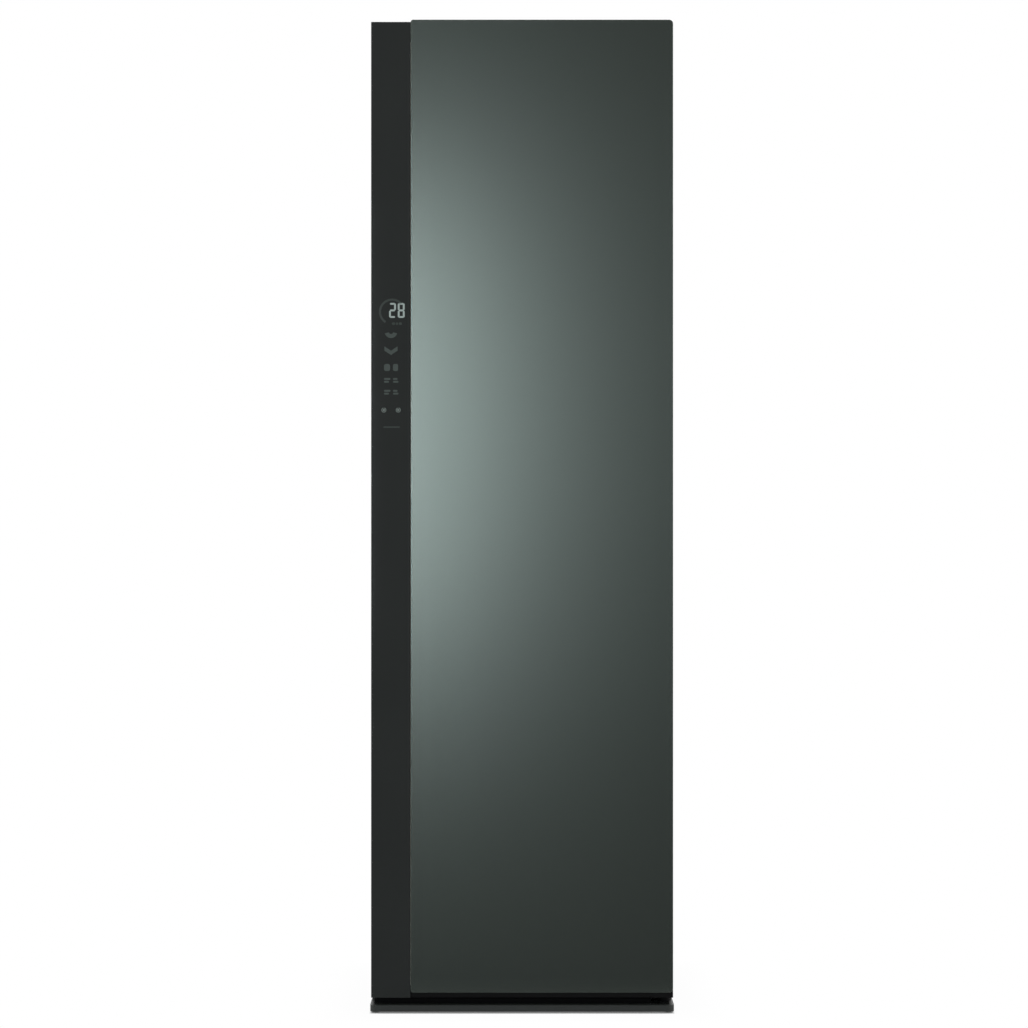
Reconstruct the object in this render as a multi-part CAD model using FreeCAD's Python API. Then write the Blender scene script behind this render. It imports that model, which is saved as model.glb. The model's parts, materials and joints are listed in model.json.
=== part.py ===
import FreeCAD, Part
import math
import os

from FreeCAD import Vector

# A clothes care steam cabinet, in millimetres. X runs across the front, -Y is the front,
# +Z is up, and the origin is on the floor under the middle of the cabinet.

# Whole cabinet
overall_width = 600.0            # the base lip is the widest piece
overall_depth = 596.0            # from the base lip to the wall spacers
overall_height = 1960.0          # to the top edge of the door glass
body_inset = 2.0                 # cabinet and door stand this far inside the lip, each side
spacer_depth = 6.0               # wall spacers behind the back panel
sheet = 1.2                      # folded steel sheet
flange = 31.0                    # folded front edge that the door seal meets
rear_flange = 15.0
seat_gap = 0.3                   # between pieces that come apart or move
running_gap = 0.05               # radial clearance of a shaft in its bore
same = 1e-6                      # two places closer than this are one
past = 1.0                       # a cutting shape runs this far past a face
root = 1.0                       # a joined piece starts this far inside its neighbour
pin_short = 1.0                  # a hinge pin ends this far inside its ear
small_round = 3.0                # edge radius of small mouldings
round_end = 0.45                 # end radius of a slot, as a share of its width
spacer_width = 50.0
spacer_height = 100.0
spacer_from_side = 40.0
spacer_drop = 60.0               # below the cabinet's top
spacer_round = 3.6

# Base and feet
floor_gap = 3.0
lip_height = 13.0
base_wall = 12.0
base_top = 4.0
lip_corner_radius = 14.0
rear_corner_radius = 10.0
base_rib = 4.0
foot_radius = 20.0
foot_pad_height = 6.0
foot_boss_radius = 13.0
stud_radius = 5.0
stud_length = 32.0
foot_side_inset = 46.0
foot_front_inset = 34.0
foot_rear_inset = 42.0

# Door
lip_overhang = 6.0               # lip in front of the door's face
door_thickness = 60.0
door_floor_gap = 14.0            # door above the base lip
glass = 4.0
strip_glass = 3.0
strip_width = 78.0               # black control strip at the left
strip_joint = 0.5
panel_reveal = 10.0              # black sill below the coloured panel
panel_rise = 4.3                 # coloured panel above the control strip
panel_corner_radius = 8.0
stile_width = 44.0
rail_height = 40.0               # the door's top rail
bottom_rail_height = 24.0
liner_skin = 4.0                 # the door liner's rim
liner_wall = 3.0
liner_margin = 8.0
tray_low = 28.0
tray_high = 48.0                 # from the door's ends to the recess in its liner
tray_depth = 20.0
grip_depth = 13.0
grip_width = 22.0
grip_from_face = 14.0
grip_low = 720.0
grip_length = 620.0
grip_slope = 20.0
display_width = 56.0
display_height = 268.0
display_depth = 11.0
display_low = 1140.0
display_from_edge = 12.0

# Seal between door and cabinet
seal_gap = 8.0
seal_width = 12.0
seal_inset = 16.0
seal_bottom = 10.0               # seal above the door's lower edge
seal_top = 22.0                  # seal below the cabinet's top

# Door hinges, on the right
hinge_from_side = 15.0
hinge_from_face = 25.0
hinge_pin_radius = 5.0
hinge_pin_grip = 22.0            # pin inside the door
bush_wall = 4.0
bush_collar = 2.0
hinge_plate = 5.0
hinge_nose_radius = 14.0
hinge_reach_left = 22.0
hinge_reach_right = 8.0
hinge_top_length = 50.0          # upper plate over the cabinet's top
hinge_top_drop = 12.0            # right stile below the control strip's top
cover_wall = 2.0
cover_margin = 3.0
cover_height = 10.0
screw_radius = 2.5
screw_head_radius = 5.0
screw_head = 3.0
screw_from_pin = 12.0            # to the left of the hinge axis
upper_screws = (14.0, 34.0)      # behind the cabinet's front
lower_screws = (8.0, 24.0)       # in front of it

# Cabinet walls
wall = 38.0
rear_space = 42.0
liner = 2.0
frame_depth = 10.0
cabinet_drop = 12.0              # cabinet top below the glass's top
shaker_room = 148.0              # above the compartment
machine_room = 424.0             # below the compartment
insulation_gap = 2.0
bay_floor_height = 44.0          # tank bay floor above the base
bay_height = 262.0
bay_wall = 2.0
bay_side_gap = 8.0
kick_set_back = 48.0
kick_sheet = 1.5
kick_drop = 4.0
kick_end_gap = 6.0
vent_columns = 2
vent_rows = 12
vent_width = 150.0
vent_slot = 6.0
vent_pitch = 18.0
vent_low = 60.0
vent_spread = 240.0

# Water tanks
tank_depth = 130.0
tank_height = 182.0
tank_wall = 2.5
tank_gap = 3.0                   # behind a tank
tank_side_gap = 4.5
tank_set_back = 1.5
tank_corner_radius = 10.0
lid = 5.0
lid_lip = 6.0
filler_radius = 24.0
filler_rise = 3.0                # neck above the lid
bail_radius = 4.0
bail_reach = 52.0
bail_inset = 16.0
bail_post = 14.0
bail_post_round = 4.2
bail_pin_radius = 2.5

# Compartment fittings
ledge = 10.0
ledge_thickness = 10.0
ledge_height = 32.0
ledge_length = 360.0
ledge_from_back = 20.0
rack_wire_radius = 3.0
rack_depth = 340.0
rack_from_back = 24.0
rack_wires = 11
rack_cross_radius = 2.4
filter_width = 180.0
filter_thickness = 24.0
filter_depth = 96.0
filter_front = 14.0
filter_left = 38.0
filter_rim = 6.0
filter_rim_height = 4.0
filter_rim_round = 2.8
filter_bar = 8.0
filter_windows = 5
filter_mesh = 1.2
filter_grip = 14.0
filter_grip_length = 60.0
filter_grip_width = 8.0
aroma_width = 120.0
aroma_thickness = 36.0
aroma_depth = 44.0
aroma_right = 70.0
aroma_wall = 2.0
aroma_ridge = 10.0
lamp_length = 240.0
lamp_width = 20.0
lamp_height = 7.0
lamp_from_front = 24.0
nozzle_radius = 14.0
nozzle_height = 20.0
nozzle_foot = 6.0                # wider at its foot
nozzle_bore = 5.6
nozzle_slot = 6.0
nozzle_from_back = 36.0
nozzle_from_duct = 34.0          # its axis to the right of the duct
outlet_slots = 5
outlet_slot = 6.0
outlet_pitch = 14.0
outlet_width = 110.0
outlet_below_ceiling = 300.0

# Trouser press on the door
press_width = 400.0
press_height = 800.0
press_low = 560.0
press_plate = 6.0
press_gap = 7.0
press_thickness = 18.0
press_corner_radius = 20.0
press_pin_radius = 3.0
press_knuckle_radius = 6.0
press_knuckle = 30.0
press_web = 8.0                  # between a knuckle and the panel
press_axis_gap = 3.0             # panel's edge to the knuckles
press_side_gap = 1.0
press_ear = 14.0
press_grip_width = 20.0
press_grip_height = 140.0
press_grip_depth = 10.0
press_grip_inset = 18.0
clamp_width = 240.0
clamp_height = 46.0
clamp_thickness = 8.0
clamp_above = 44.0
clamp_ear = 8.0
clamp_ear_height = 12.0
clamp_ear_reach = 5.0            # past the pin
clamp_stand = 12.0               # pin in front of the plate

# Moving hanger bar and its drive
bar_end_gap = 45.0               # bar's end to the compartment's side
bar_depth = 28.0
bar_height = 20.0
bar_round = 5.0
bar_drop = 64.0                  # top of the bar below the ceiling
hook_slots = 5
hook_pitch = 70.0
hook_slot_width = 9.0
hook_slot_depth = 12.0
bar_stroke = 18.0                # to each side
slide_rod_radius = 6.0
slide_rod_drop = 28.0
slide_block = 30.0
slide_block_height = 24.0
slide_from_side = 65.0
slide_spare = 2.0
slide_neck = 20.0
slide_neck_depth = 10.0
bracket = 6.0
bracket_depth = 30.0
bracket_drop = 6.0               # below the slide rod
crank_x = 35.0
crank_y = 34.0
crank_pin_radius = 5.0
crank_core_radius = 42.0
motor_core_radius = 19.0
pulley_rim = 3.0
pulley_flange = 2.0
belt_width = 9.4
belt_thickness = 2.0
belt_play = 0.3
pulley_spacing = 150.0
pulley_lift = 10.0
yoke_plate = 8.0
yoke_width = 30.0
yoke_web = 10.0
yoke_end = 7.0
yoke_drop = 10.0                 # yoke's top below the ceiling
yoke_gap = 0.5                   # crank pin above the yoke
crank_spare = 3.0                # round the crank pin's path
crank_end_play = 2.0
shaft_radius = 5.0
collar_height = 6.0
deck = 3.0
deck_margin = 10.0
deck_past_motor = 60.0
deck_past_slide = 20.0
bridge = 4.0
bridge_past_pulley = 16.0
bridge_lift = 35.0
bridge_half_depth = 48.0
post_radius = 5.0
shaker_motor_radius = 36.0
shaker_motor_height = 66.0
shaker_motor_round = 4.0
shaker_shaft = 20.0              # motor shaft inside the motor

# Air path
duct_wall = 2.0
duct_height = 104.0
duct_side = 8.0
duct_tail = 10.0                 # duct past the last exchanger
exchanger_depth = 60.0
exchanger_gap = 10.0
exchanger_from_bay = 10.0
fin = 1.0
fins = 16
fin_root = 6.0                   # solid back of an exchanger
fin_foot = 3.0                   # solid foot of an exchanger
plenum_drop = 36.0
fan_radius = 56.0
fan_depth = 44.0
fan_mouth_radius = 44.8
fan_disc = 3.0
fan_ring = 9.0
fan_hub_radius = 14.0
fan_hub_depth = 16.0
fan_blades = 20
fan_blade = 2.0
fan_motor_gap = 8.0
fan_motor_radius = 38.0
fan_motor_depth = 46.0
fan_motor_bore = 20.0
fan_arm = 20.0
fan_arm_depth = 10.0
fan_arm_set_back = 6.0
fan_inlet_gap = 4.0
riser_depth = 34.0
riser_width = 140.0

# Heat pump and steam
compressor_radius = 68.0
compressor_height = 196.0
compressor_wall = 8.0
compressor_round = 26.0
compressor_crown = 30.0          # solid top of the can
compressor_from_side = 120.0     # its axis from the compartment's side
compressor_from_rear = 132.0
compressor_plate = 4.0
compressor_plate_margin = 6.0
compressor_plate_round = 20.0
grommet_radius = 12.0
grommet_height = 10.0
grommet_inset = 14.0
pipe_radius = 4.0
pipe_bend = 16.0
pipe_from_duct = 24.0            # above and below the duct's faces
suction_offset = 30.0
link_inset = 10.0
link_reach = 40.0
boiler_width = 170.0
boiler_depth = 100.0
boiler_height = 116.0
boiler_round = 14.0
boiler_flange = 6.0
boiler_flange_height = 5.0
boiler_leg = 18.0
boiler_foot = 20.0
boiler_foot_inset = 10.0
boiler_from_side = 26.0
boiler_from_back = 24.0
port_from_end = 40.0             # hose ports from the boiler's end
hose_radius = 8.0
hose_bend = 40.0
hose_rise = 60.0
hose_cross_rise = 50.0
water_hose_radius = 5.0
water_hose_bend = 26.0
water_hose_run = 60.0
water_port_run = 50.0
water_port_height = 30.0
pump_radius = 24.0
pump_length = 60.0
pump_x = 20.0
pump_height = 70.0
pump_from_bay = 14.0
pump_spout_radius = 9.6
pump_bracket = 3.0
pump_bracket_set_back = 10.0
pump_foot = 34.0
control_width = 120.0
control_depth = 130.0
control_height = 84.0
control_round = 5.0
control_from_side = 20.0
control_from_bay = 20.0
control_ribs = 9
control_rib = 3.0
control_rib_pitch = 12.0
control_rib_inset = 12.0
inlet_width = 40.0
inlet_height = 26.0
inlet_depth = 18.0
inlet_rim = 4.0
inlet_from_side = 110.0
inlet_above_base = 20.0
inlet_pin_radius = 1.5
inlet_pin_pitch = 9.0
inlet_pin_set_back = 3.0

# Levels and planes worked out from the sizes
half = overall_width / 2 - body_inset
lip_front = -overall_depth / 2
face = lip_front + lip_overhang
glass_back = face + glass
door_back = face + door_thickness
front = door_back + seal_gap
rear = overall_depth / 2 - spacer_depth
lip_top = floor_gap + lip_height
door_bottom = lip_top + door_floor_gap
panel_bottom = door_bottom + panel_reveal
strip_top = overall_height - panel_rise
strip_right = -half + strip_width
cabinet_top = overall_height - cabinet_drop
frame_front = front + sheet
frame_back = frame_front + frame_depth
inner_side = half - wall
inner_back = rear - rear_space
floor_level = lip_top + machine_room
ceiling_level = cabinet_top - shaker_room
bay_floor = lip_top + bay_floor_height
bay_top = bay_floor + bay_height
bay_side = inner_side - bay_side_gap
bay_back = frame_front + tank_set_back + tank_depth + tank_gap
hinge_x = half - hinge_from_side
hinge_y = face + hinge_from_face
stile_top = strip_top - hinge_top_drop
frame_skin = door_back - liner_skin
tray_floor = door_back - liner_skin - tray_depth
bush_radius = hinge_pin_radius + bush_wall
tray_side = stile_width + liner_wall
bar_length = 2 * (inner_side - bar_end_gap)
slide_centre = inner_side - slide_from_side
compressor_x = inner_side - compressor_from_side
compressor_y = rear - compressor_from_rear


def box(x, y, z):
    corner = Vector(x[0], y[0], z[0])
    return Part.makeBox(x[1] - x[0], y[1] - y[0], z[1] - z[0], corner)


def across(radius, x, y, z):
    """A round bar along X."""
    return Part.makeCylinder(radius, x[1] - x[0], Vector(x[0], y, z), Vector(1, 0, 0))


def inward(radius, x, y, z):
    """A round bar along Y."""
    return Part.makeCylinder(radius, y[1] - y[0], Vector(x, y[0], z), Vector(0, 1, 0))


def upright(radius, x, y, z):
    """A round bar along Z."""
    return Part.makeCylinder(radius, z[1] - z[0], Vector(x, y, z[0]), Vector(0, 0, 1))


def join(first, *others):
    return first.fuse(list(others)).removeSplitter()


def rounded(shape, radius, wanted):
    edges = [edge for edge in shape.Edges if wanted(edge)]
    return shape.makeFillet(radius, edges)


def runs_along(edge, axis):
    """True for a straight edge along the axis: 0 is X, 1 is Y, 2 is Z."""
    if not isinstance(edge.Curve, Part.Line):
        return False
    return abs(abs(edge.Curve.Direction[axis]) - 1) < same


def lies_at(edge, axis, place):
    """True for an edge whose ends are at this place on the axis."""
    return all(abs(vertex.Point[axis] - place) < same for vertex in edge.Vertexes)


def is_ring(edge):
    return isinstance(edge.Curve, Part.Circle)


def tube(radius, bend, points):
    """A round pipe along straight runs joined by tangent arcs."""
    points = [Vector(*point) for point in points]
    edges = []
    start = points[0]
    for before, corner, after in zip(points, points[1:], points[2:]):
        arriving = (corner - before).normalize()
        leaving = (after - corner).normalize()
        half_turn = arriving.getAngle(leaving) / 2
        reach = bend * math.tan(half_turn)
        enter = corner - arriving * reach
        leave = corner + leaving * reach
        inner = (leaving - arriving).normalize()
        middle = corner + inner * (bend / math.cos(half_turn) - bend)
        edges.append(Part.LineSegment(start, enter).toShape())
        edges.append(Part.Arc(enter, middle, leave).toShape())
        start = leave
    edges.append(Part.LineSegment(start, points[-1]).toShape())
    path = Part.Wire(edges)
    heading = (points[1] - points[0]).normalize()
    ring = Part.Wire([Part.makeCircle(radius, points[0], heading)])
    return path.makePipeShell([ring], True, True)


def save(name, *solids):
    shape = solids[0] if len(solids) == 1 else Part.makeCompound(list(solids))
    shape.exportStep("parts/" + name + ".step")


def plan_outline(width, y, front_radius, back_radius, z):
    """A plate in plan with rounded front and rear corners."""
    plate = box((-width / 2, width / 2), y, z)
    plate = rounded(plate, front_radius, lambda e: runs_along(e, 2) and lies_at(e, 1, y[0]))
    return rounded(plate, back_radius, lambda e: runs_along(e, 2) and lies_at(e, 1, y[1]))


# Screws: each is a head and a shank, and its hole is the shank plus a running gap.
screws = []
screw_holes = {"top": [], "upper_hinge": [], "base": [], "lower_hinge": []}


def add_screw(x, y, head_under, length, pieces):
    head = upright(screw_head_radius, x, y, (head_under, head_under + screw_head))
    shank = upright(screw_radius, x, y, (head_under - length, head_under))
    screws.append(join(head, shank))
    hole = upright(screw_radius + running_gap, x, y, (head_under - length, head_under))
    for piece in pieces:
        screw_holes[piece].append(hole)


foot_x = half - foot_side_inset
foot_front_y = front + foot_front_inset
foot_rear_y = rear - foot_rear_inset
foot_places = {
    "foot_front_left": (-foot_x, foot_front_y),
    "foot_front_right": (foot_x, foot_front_y),
}
rear_foot_places = [(-foot_x, foot_rear_y), (foot_x, foot_rear_y)]


def foot(x, y):
    pad = upright(foot_radius, x, y, (0, foot_pad_height))
    pad = rounded(pad, foot_pad_height / 4, is_ring)
    stud = upright(stud_radius, x, y, (foot_pad_height / 2, foot_pad_height + stud_length))
    return join(pad, stud)


def make_feet():
    for name, (x, y) in foot_places.items():
        save(name, foot(x, y))
    save("rear_feet", *[foot(x, y) for x, y in rear_foot_places])


def make_base():
    y = (lip_front, rear)
    base = plan_outline(overall_width, y, lip_corner_radius, rear_corner_radius, (floor_gap, lip_top))
    inner = plan_outline(
        overall_width - 2 * base_wall,
        (lip_front + base_wall, rear - base_wall),
        lip_corner_radius - base_wall,
        rear_corner_radius / 2,
        (floor_gap, lip_top - base_top),
    )
    base = base.cut(inner)
    places = list(foot_places.values()) + rear_foot_places
    boss_foot = foot_pad_height + seat_gap
    bosses = [upright(foot_boss_radius, x, y, (boss_foot, lip_top - base_top)) for x, y in places]
    rib_x = (-base_rib / 2, base_rib / 2)
    rib = box(rib_x, (lip_front + base_wall, rear - base_wall), (boss_foot, lip_top - base_top))
    base = join(base, *bosses, rib)
    bores = [upright(stud_radius + running_gap, x, y, (0, lip_top + past)) for x, y in places]
    base = base.cut(bores + screw_holes["base"])
    save("base_frame", base)


def make_shell():
    z = (lip_top, cabinet_top - sheet)
    sides = []
    for side in (-1, 1):
        skin = box(sorted((side * (half - sheet), side * half)), (front, rear), z)
        fold = box(sorted((side * (half - flange), side * half)), (front, frame_front), z)
        back_fold = box(
            sorted((side * (half - rear_flange), side * half)),
            (rear - 2 * sheet, rear - sheet),
            z,
        )
        sides.append(join(skin, fold, back_fold))
    save("side_panels", *sides)

    back = box((sheet - half, half - sheet), (rear - sheet, rear), z)
    slots = []
    for column in range(vent_columns):
        middle = (column - (vent_columns - 1) / 2) * vent_spread
        for row in range(vent_rows):
            low = lip_top + vent_low + row * vent_pitch
            x = (middle - vent_width / 2, middle + vent_width / 2)
            slot = box(x, (rear - 2 * sheet, rear + sheet), (low, low + vent_slot))
            slots.append(rounded(slot, vent_slot * round_end, lambda e: runs_along(e, 1)))
    slots.append(inlet_space(inlet_rim / 2))
    save("back_panel", back.cut(slots))

    top = box((-half, half), (front, rear), (cabinet_top - sheet, cabinet_top))
    fold_x = (flange - half, half - flange)
    fold = box(fold_x, (front, frame_front), (cabinet_top - flange, cabinet_top - sheet))
    save("top_panel", join(top, fold).cut(screw_holes["top"]))

    high = cabinet_top - spacer_drop
    outer_x = half - spacer_from_side
    spacers = []
    for side in (-1, 1):
        x = sorted((side * outer_x, side * (outer_x - spacer_width)))
        bump = box(x, (rear, rear + spacer_depth), (high - spacer_height, high))
        spacers.append(rounded(bump, spacer_round, lambda e: lies_at(e, 1, rear + spacer_depth)))
    save("wall_spacers", *spacers)


inlet_x = half - inlet_from_side
inlet_z = lip_top + inlet_above_base


def inlet_space(margin):
    x = (inlet_x - inlet_width / 2 - margin, inlet_x + inlet_width / 2 + margin)
    z = (inlet_z - margin, inlet_z + inlet_height + margin)
    return box(x, (rear - inlet_depth, rear + past), z)


def make_mains_inlet():
    """The socket for the mains lead, set in the back panel."""
    outer_x = (inlet_x - inlet_width / 2, inlet_x + inlet_width / 2)
    body = box(outer_x, (rear - inlet_depth, rear), (inlet_z, inlet_z + inlet_height))
    flange_plate = box(
        (outer_x[0] - inlet_rim, outer_x[1] + inlet_rim),
        (rear, rear + inlet_rim / 2),
        (inlet_z - inlet_rim, inlet_z + inlet_height + inlet_rim),
    )
    mouth = box(
        (outer_x[0] + inlet_rim, outer_x[1] - inlet_rim),
        (rear - inlet_depth + inlet_rim, rear + inlet_rim),
        (inlet_z + inlet_rim, inlet_z + inlet_height - inlet_rim),
    )
    mouth = rounded(mouth, small_round, lambda e: runs_along(e, 1))
    pin_y = (rear - inlet_depth + inlet_rim / 2, rear - inlet_pin_set_back)
    pin_z = inlet_z + inlet_height / 2
    pins = [
        inward(inlet_pin_radius, inlet_x + step * inlet_pin_pitch, pin_y, pin_z)
        for step in (-1, 0, 1)
    ]
    save("mains_inlet", join(body, flange_plate).cut(mouth).fuse(pins).removeSplitter())


def make_front_frame():
    rails = []
    for side in (-1, 1):
        x = sorted((side * inner_side, side * (half - sheet)))
        rails.append(box(x, (frame_front, frame_back), (lip_top, cabinet_top - sheet)))
    x = (-inner_side, inner_side)
    rails.append(box(x, (frame_front, frame_back), (ceiling_level, cabinet_top - sheet)))
    rails.append(box(x, (frame_front, frame_back), (bay_top, floor_level)))
    rails.append(box(x, (frame_front, frame_back), (lip_top, bay_floor)))
    save("front_frame", *rails)

    kick_front = front - kick_set_back + kick_sheet
    kick_top = door_bottom - kick_drop
    x = (-half + kick_end_gap, hinge_x - hinge_reach_left - kick_end_gap)
    face_sheet = box(x, (kick_front, kick_front + kick_sheet), (lip_top, kick_top))
    shelf = box(x, (kick_front, front - seat_gap), (kick_top - kick_sheet, kick_top))
    save("kick_plate", join(face_sheet, shelf))


def make_liners():
    z = (floor_level, ceiling_level)
    y = (frame_back, inner_back)
    sides = []
    for side in (-1, 1):
        panel = box(sorted((side * inner_side, side * (inner_side + liner))), y, z)
        rail_back = inner_back - ledge_from_back
        rail_y = (rail_back - ledge_length, rail_back)
        rail_z = (floor_level + ledge_height - ledge_thickness, floor_level + ledge_height)
        rail = box(sorted((side * (inner_side - ledge), side * inner_side)), rail_y, rail_z)
        sides.append(join(panel, rail))
    save("liner_sides", *sides)

    back = box((-inner_side - liner, inner_side + liner), (inner_back, inner_back + liner), z)
    slots = []
    for row in range(outlet_slots):
        low = ceiling_level - outlet_below_ceiling + row * outlet_pitch
        x = (riser_x - outlet_width / 2, riser_x + outlet_width / 2)
        slot = box(x, (inner_back - past, inner_back + liner + past), (low, low + outlet_slot))
        slots.append(rounded(slot, outlet_slot * round_end, lambda e: runs_along(e, 1)))
    save("liner_back", back.cut(slots))

    plate_x = (-inner_side - liner, inner_side + liner)
    plate_y = (frame_back, inner_back + liner)
    ceiling = box(plate_x, plate_y, (ceiling_level, ceiling_level + liner))
    save("liner_ceiling", ceiling.cut(crank_opening()))

    floor = box(plate_x, plate_y, (floor_level - liner, floor_level))
    holes = [filter_space(seat_gap), aroma_space(seat_gap)]
    holes.append(upright(hose_radius, nozzle_x, nozzle_y, (floor_level - liner, floor_level)))
    save("liner_floor", floor.cut(holes))


filter_x = (-inner_side + filter_left, -inner_side + filter_left + filter_width)
filter_y = (frame_back + filter_front, frame_back + filter_front + filter_thickness)
aroma_x = (inner_side - aroma_right - aroma_width, inner_side - aroma_right)
aroma_y = (frame_back + filter_front, frame_back + filter_front + aroma_thickness)
riser_x = (filter_x[0] + filter_x[1]) / 2
nozzle_x = filter_x[1] + duct_side + nozzle_from_duct
nozzle_y = inner_back - nozzle_from_back


def filter_space(margin):
    x = (filter_x[0] - margin, filter_x[1] + margin)
    y = (filter_y[0] - margin, filter_y[1] + margin)
    return box(x, y, (floor_level - filter_depth, floor_level + past))


def aroma_space(margin):
    x = (aroma_x[0] - margin, aroma_x[1] + margin)
    y = (aroma_y[0] - margin, aroma_y[1] + margin)
    return box(x, y, (floor_level - aroma_depth, floor_level + past))


def make_insulation():
    gap = insulation_gap
    z = (floor_level, ceiling_level)
    slabs = []
    for side in (-1, 1):
        x = sorted((side * (inner_side + liner), side * (half - sheet - gap)))
        slabs.append(box(x, (frame_back, inner_back), z))
    back_y = (inner_back + liner, rear - 2 * sheet - gap)
    beside = riser_x + riser_width / 2 + gap
    slabs.append(box((beside, half - sheet - gap), back_y, z))
    save("wall_insulation", *slabs)


def make_tank_bay():
    y = (frame_back, bay_back)
    outer = bay_side + bay_wall
    plates = [
        box((-outer, outer), y, (bay_floor - bay_wall, bay_floor)),
        box((-outer, outer), y, (bay_top, bay_top + bay_wall)),
        box((-outer, outer), (bay_back, bay_back + bay_wall), (bay_floor - bay_wall, bay_top + bay_wall)),
        box((-outer, -bay_side), y, (bay_floor, bay_top)),
        box((bay_side, outer), y, (bay_floor, bay_top)),
        box((-bay_wall / 2, bay_wall / 2), y, (bay_floor, bay_top)),
    ]
    save("tank_bay", *plates)


def make_tank(name, side):
    near = bay_wall / 2 + tank_side_gap
    x = sorted((side * near, side * (bay_side - tank_side_gap)))
    tank_front = frame_front + tank_set_back
    y = (tank_front, tank_front + tank_depth)
    low = bay_floor + seat_gap
    high = low + tank_height
    outer = rounded(box(x, y, (low, high)), tank_corner_radius, lambda e: runs_along(e, 2))
    inner = box(
        (x[0] + tank_wall, x[1] - tank_wall),
        (y[0] + tank_wall, y[1] - tank_wall),
        (low + tank_wall, high + past),
    )
    inner = rounded(inner, tank_corner_radius - tank_wall, lambda e: runs_along(e, 2))
    save(name + "_tank", outer.cut(inner))

    cover = rounded(box(x, y, (high, high + lid)), tank_corner_radius, lambda e: runs_along(e, 2))
    skirt_out = box(
        (x[0] + tank_wall + seat_gap, x[1] - tank_wall - seat_gap),
        (y[0] + tank_wall + seat_gap, y[1] - tank_wall - seat_gap),
        (high - lid_lip, high),
    )
    corner = tank_corner_radius - tank_wall - seat_gap
    skirt_out = rounded(skirt_out, corner, lambda e: runs_along(e, 2))
    skirt_in = box(
        (x[0] + 2 * tank_wall, x[1] - 2 * tank_wall),
        (y[0] + 2 * tank_wall, y[1] - 2 * tank_wall),
        (high - lid_lip, high),
    )
    centre_x = (x[0] + x[1]) / 2
    centre_y = (y[0] + y[1]) / 2
    neck_top = high + lid + filler_rise
    filler = upright(filler_radius, centre_x, centre_y, (high - lid_lip, neck_top + past))
    neck = upright(filler_radius + tank_wall, centre_x, centre_y, (high, neck_top))
    cover = join(cover, neck).cut(filler)
    cover = join(cover, skirt_out.cut(skirt_in))
    pivot_y = y[1] - bail_inset
    pivot_z = high + lid + bail_post / 2
    ear_y = (pivot_y - bail_post / 2, pivot_y + bail_post / 2)
    ear_top = high + lid + bail_post
    ears = []
    for end, inwards in ((x[0] + bail_inset, 1), (x[1] - bail_inset, -1)):
        ear_x = sorted((end, end - inwards * bail_post / 2))
        ear = box(ear_x, ear_y, (high + lid, ear_top))
        ear = rounded(ear, bail_post_round, lambda e: runs_along(e, 0) and lies_at(e, 2, ear_top))
        ears.append(ear)
    cover = join(cover, *ears)
    bore = across(bail_pin_radius + running_gap, (x[0], x[1]), pivot_y, pivot_z)
    save(name + "_tank_lid", cover.cut(bore))

    left = x[0] + bail_inset + seat_gap
    right = x[1] - bail_inset - seat_gap
    arm = bail_radius * 2
    bar_y = (pivot_y - bail_reach, pivot_y - bail_reach + arm)
    bar_z = (pivot_z - bail_radius, pivot_z + bail_radius)
    grip = box((left, right), bar_y, bar_z)
    arms = [
        box((left, left + arm), (bar_y[0], pivot_y + bail_radius), bar_z),
        box((right - arm, right), (bar_y[0], pivot_y + bail_radius), bar_z),
    ]
    bail = join(grip, *arms)
    bail = rounded(bail, bail_radius / 2, lambda e: runs_along(e, 0) or runs_along(e, 1))
    reach = seat_gap + bail_post / 2 - pin_short
    pins = [
        across(bail_pin_radius, (left - reach, left + root), pivot_y, pivot_z),
        across(bail_pin_radius, (right - root, right + reach), pivot_y, pivot_z),
    ]
    save(name + "_tank_handle", join(bail, *pins))


def make_filter():
    rim_x = (filter_x[0] - filter_rim, filter_x[1] + filter_rim)
    rim_y = (filter_y[0] - filter_rim, filter_y[1] + filter_rim)
    rim_low = floor_level + seat_gap
    rim = box(rim_x, rim_y, (rim_low, rim_low + filter_rim_height))
    rim = rounded(rim, filter_rim_round, lambda e: runs_along(e, 2))
    low = floor_level - filter_depth + seat_gap
    body = box(filter_x, filter_y, (low, rim_low))
    windows = []
    pitch = (filter_width - filter_bar) / filter_windows
    window_y = (filter_y[0] - past, filter_y[1] + past)
    window_z = (low + filter_bar, rim_low - filter_bar)
    for index in range(filter_windows):
        left = filter_x[0] + filter_bar + index * pitch
        window = box((left, left + pitch - filter_bar), window_y, window_z)
        windows.append(rounded(window, small_round, lambda e: runs_along(e, 1)))
    middle_x = (filter_x[0] + filter_x[1]) / 2
    middle_y = (filter_y[0] + filter_y[1]) / 2
    mesh = box(
        (filter_x[0] + root, filter_x[1] - root),
        (middle_y - filter_mesh / 2, middle_y + filter_mesh / 2),
        (low + root, rim_low - root),
    )
    grip_top = rim_low + filter_grip
    grip = box(
        (middle_x - filter_grip_length / 2, middle_x + filter_grip_length / 2),
        (middle_y - filter_grip_width / 2, middle_y + filter_grip_width / 2),
        (rim_low, grip_top),
    )
    grip = rounded(grip, small_round, lambda e: runs_along(e, 0) and lies_at(e, 2, grip_top))
    save("lint_filter", join(body.cut(windows), mesh, rim, grip))


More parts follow.
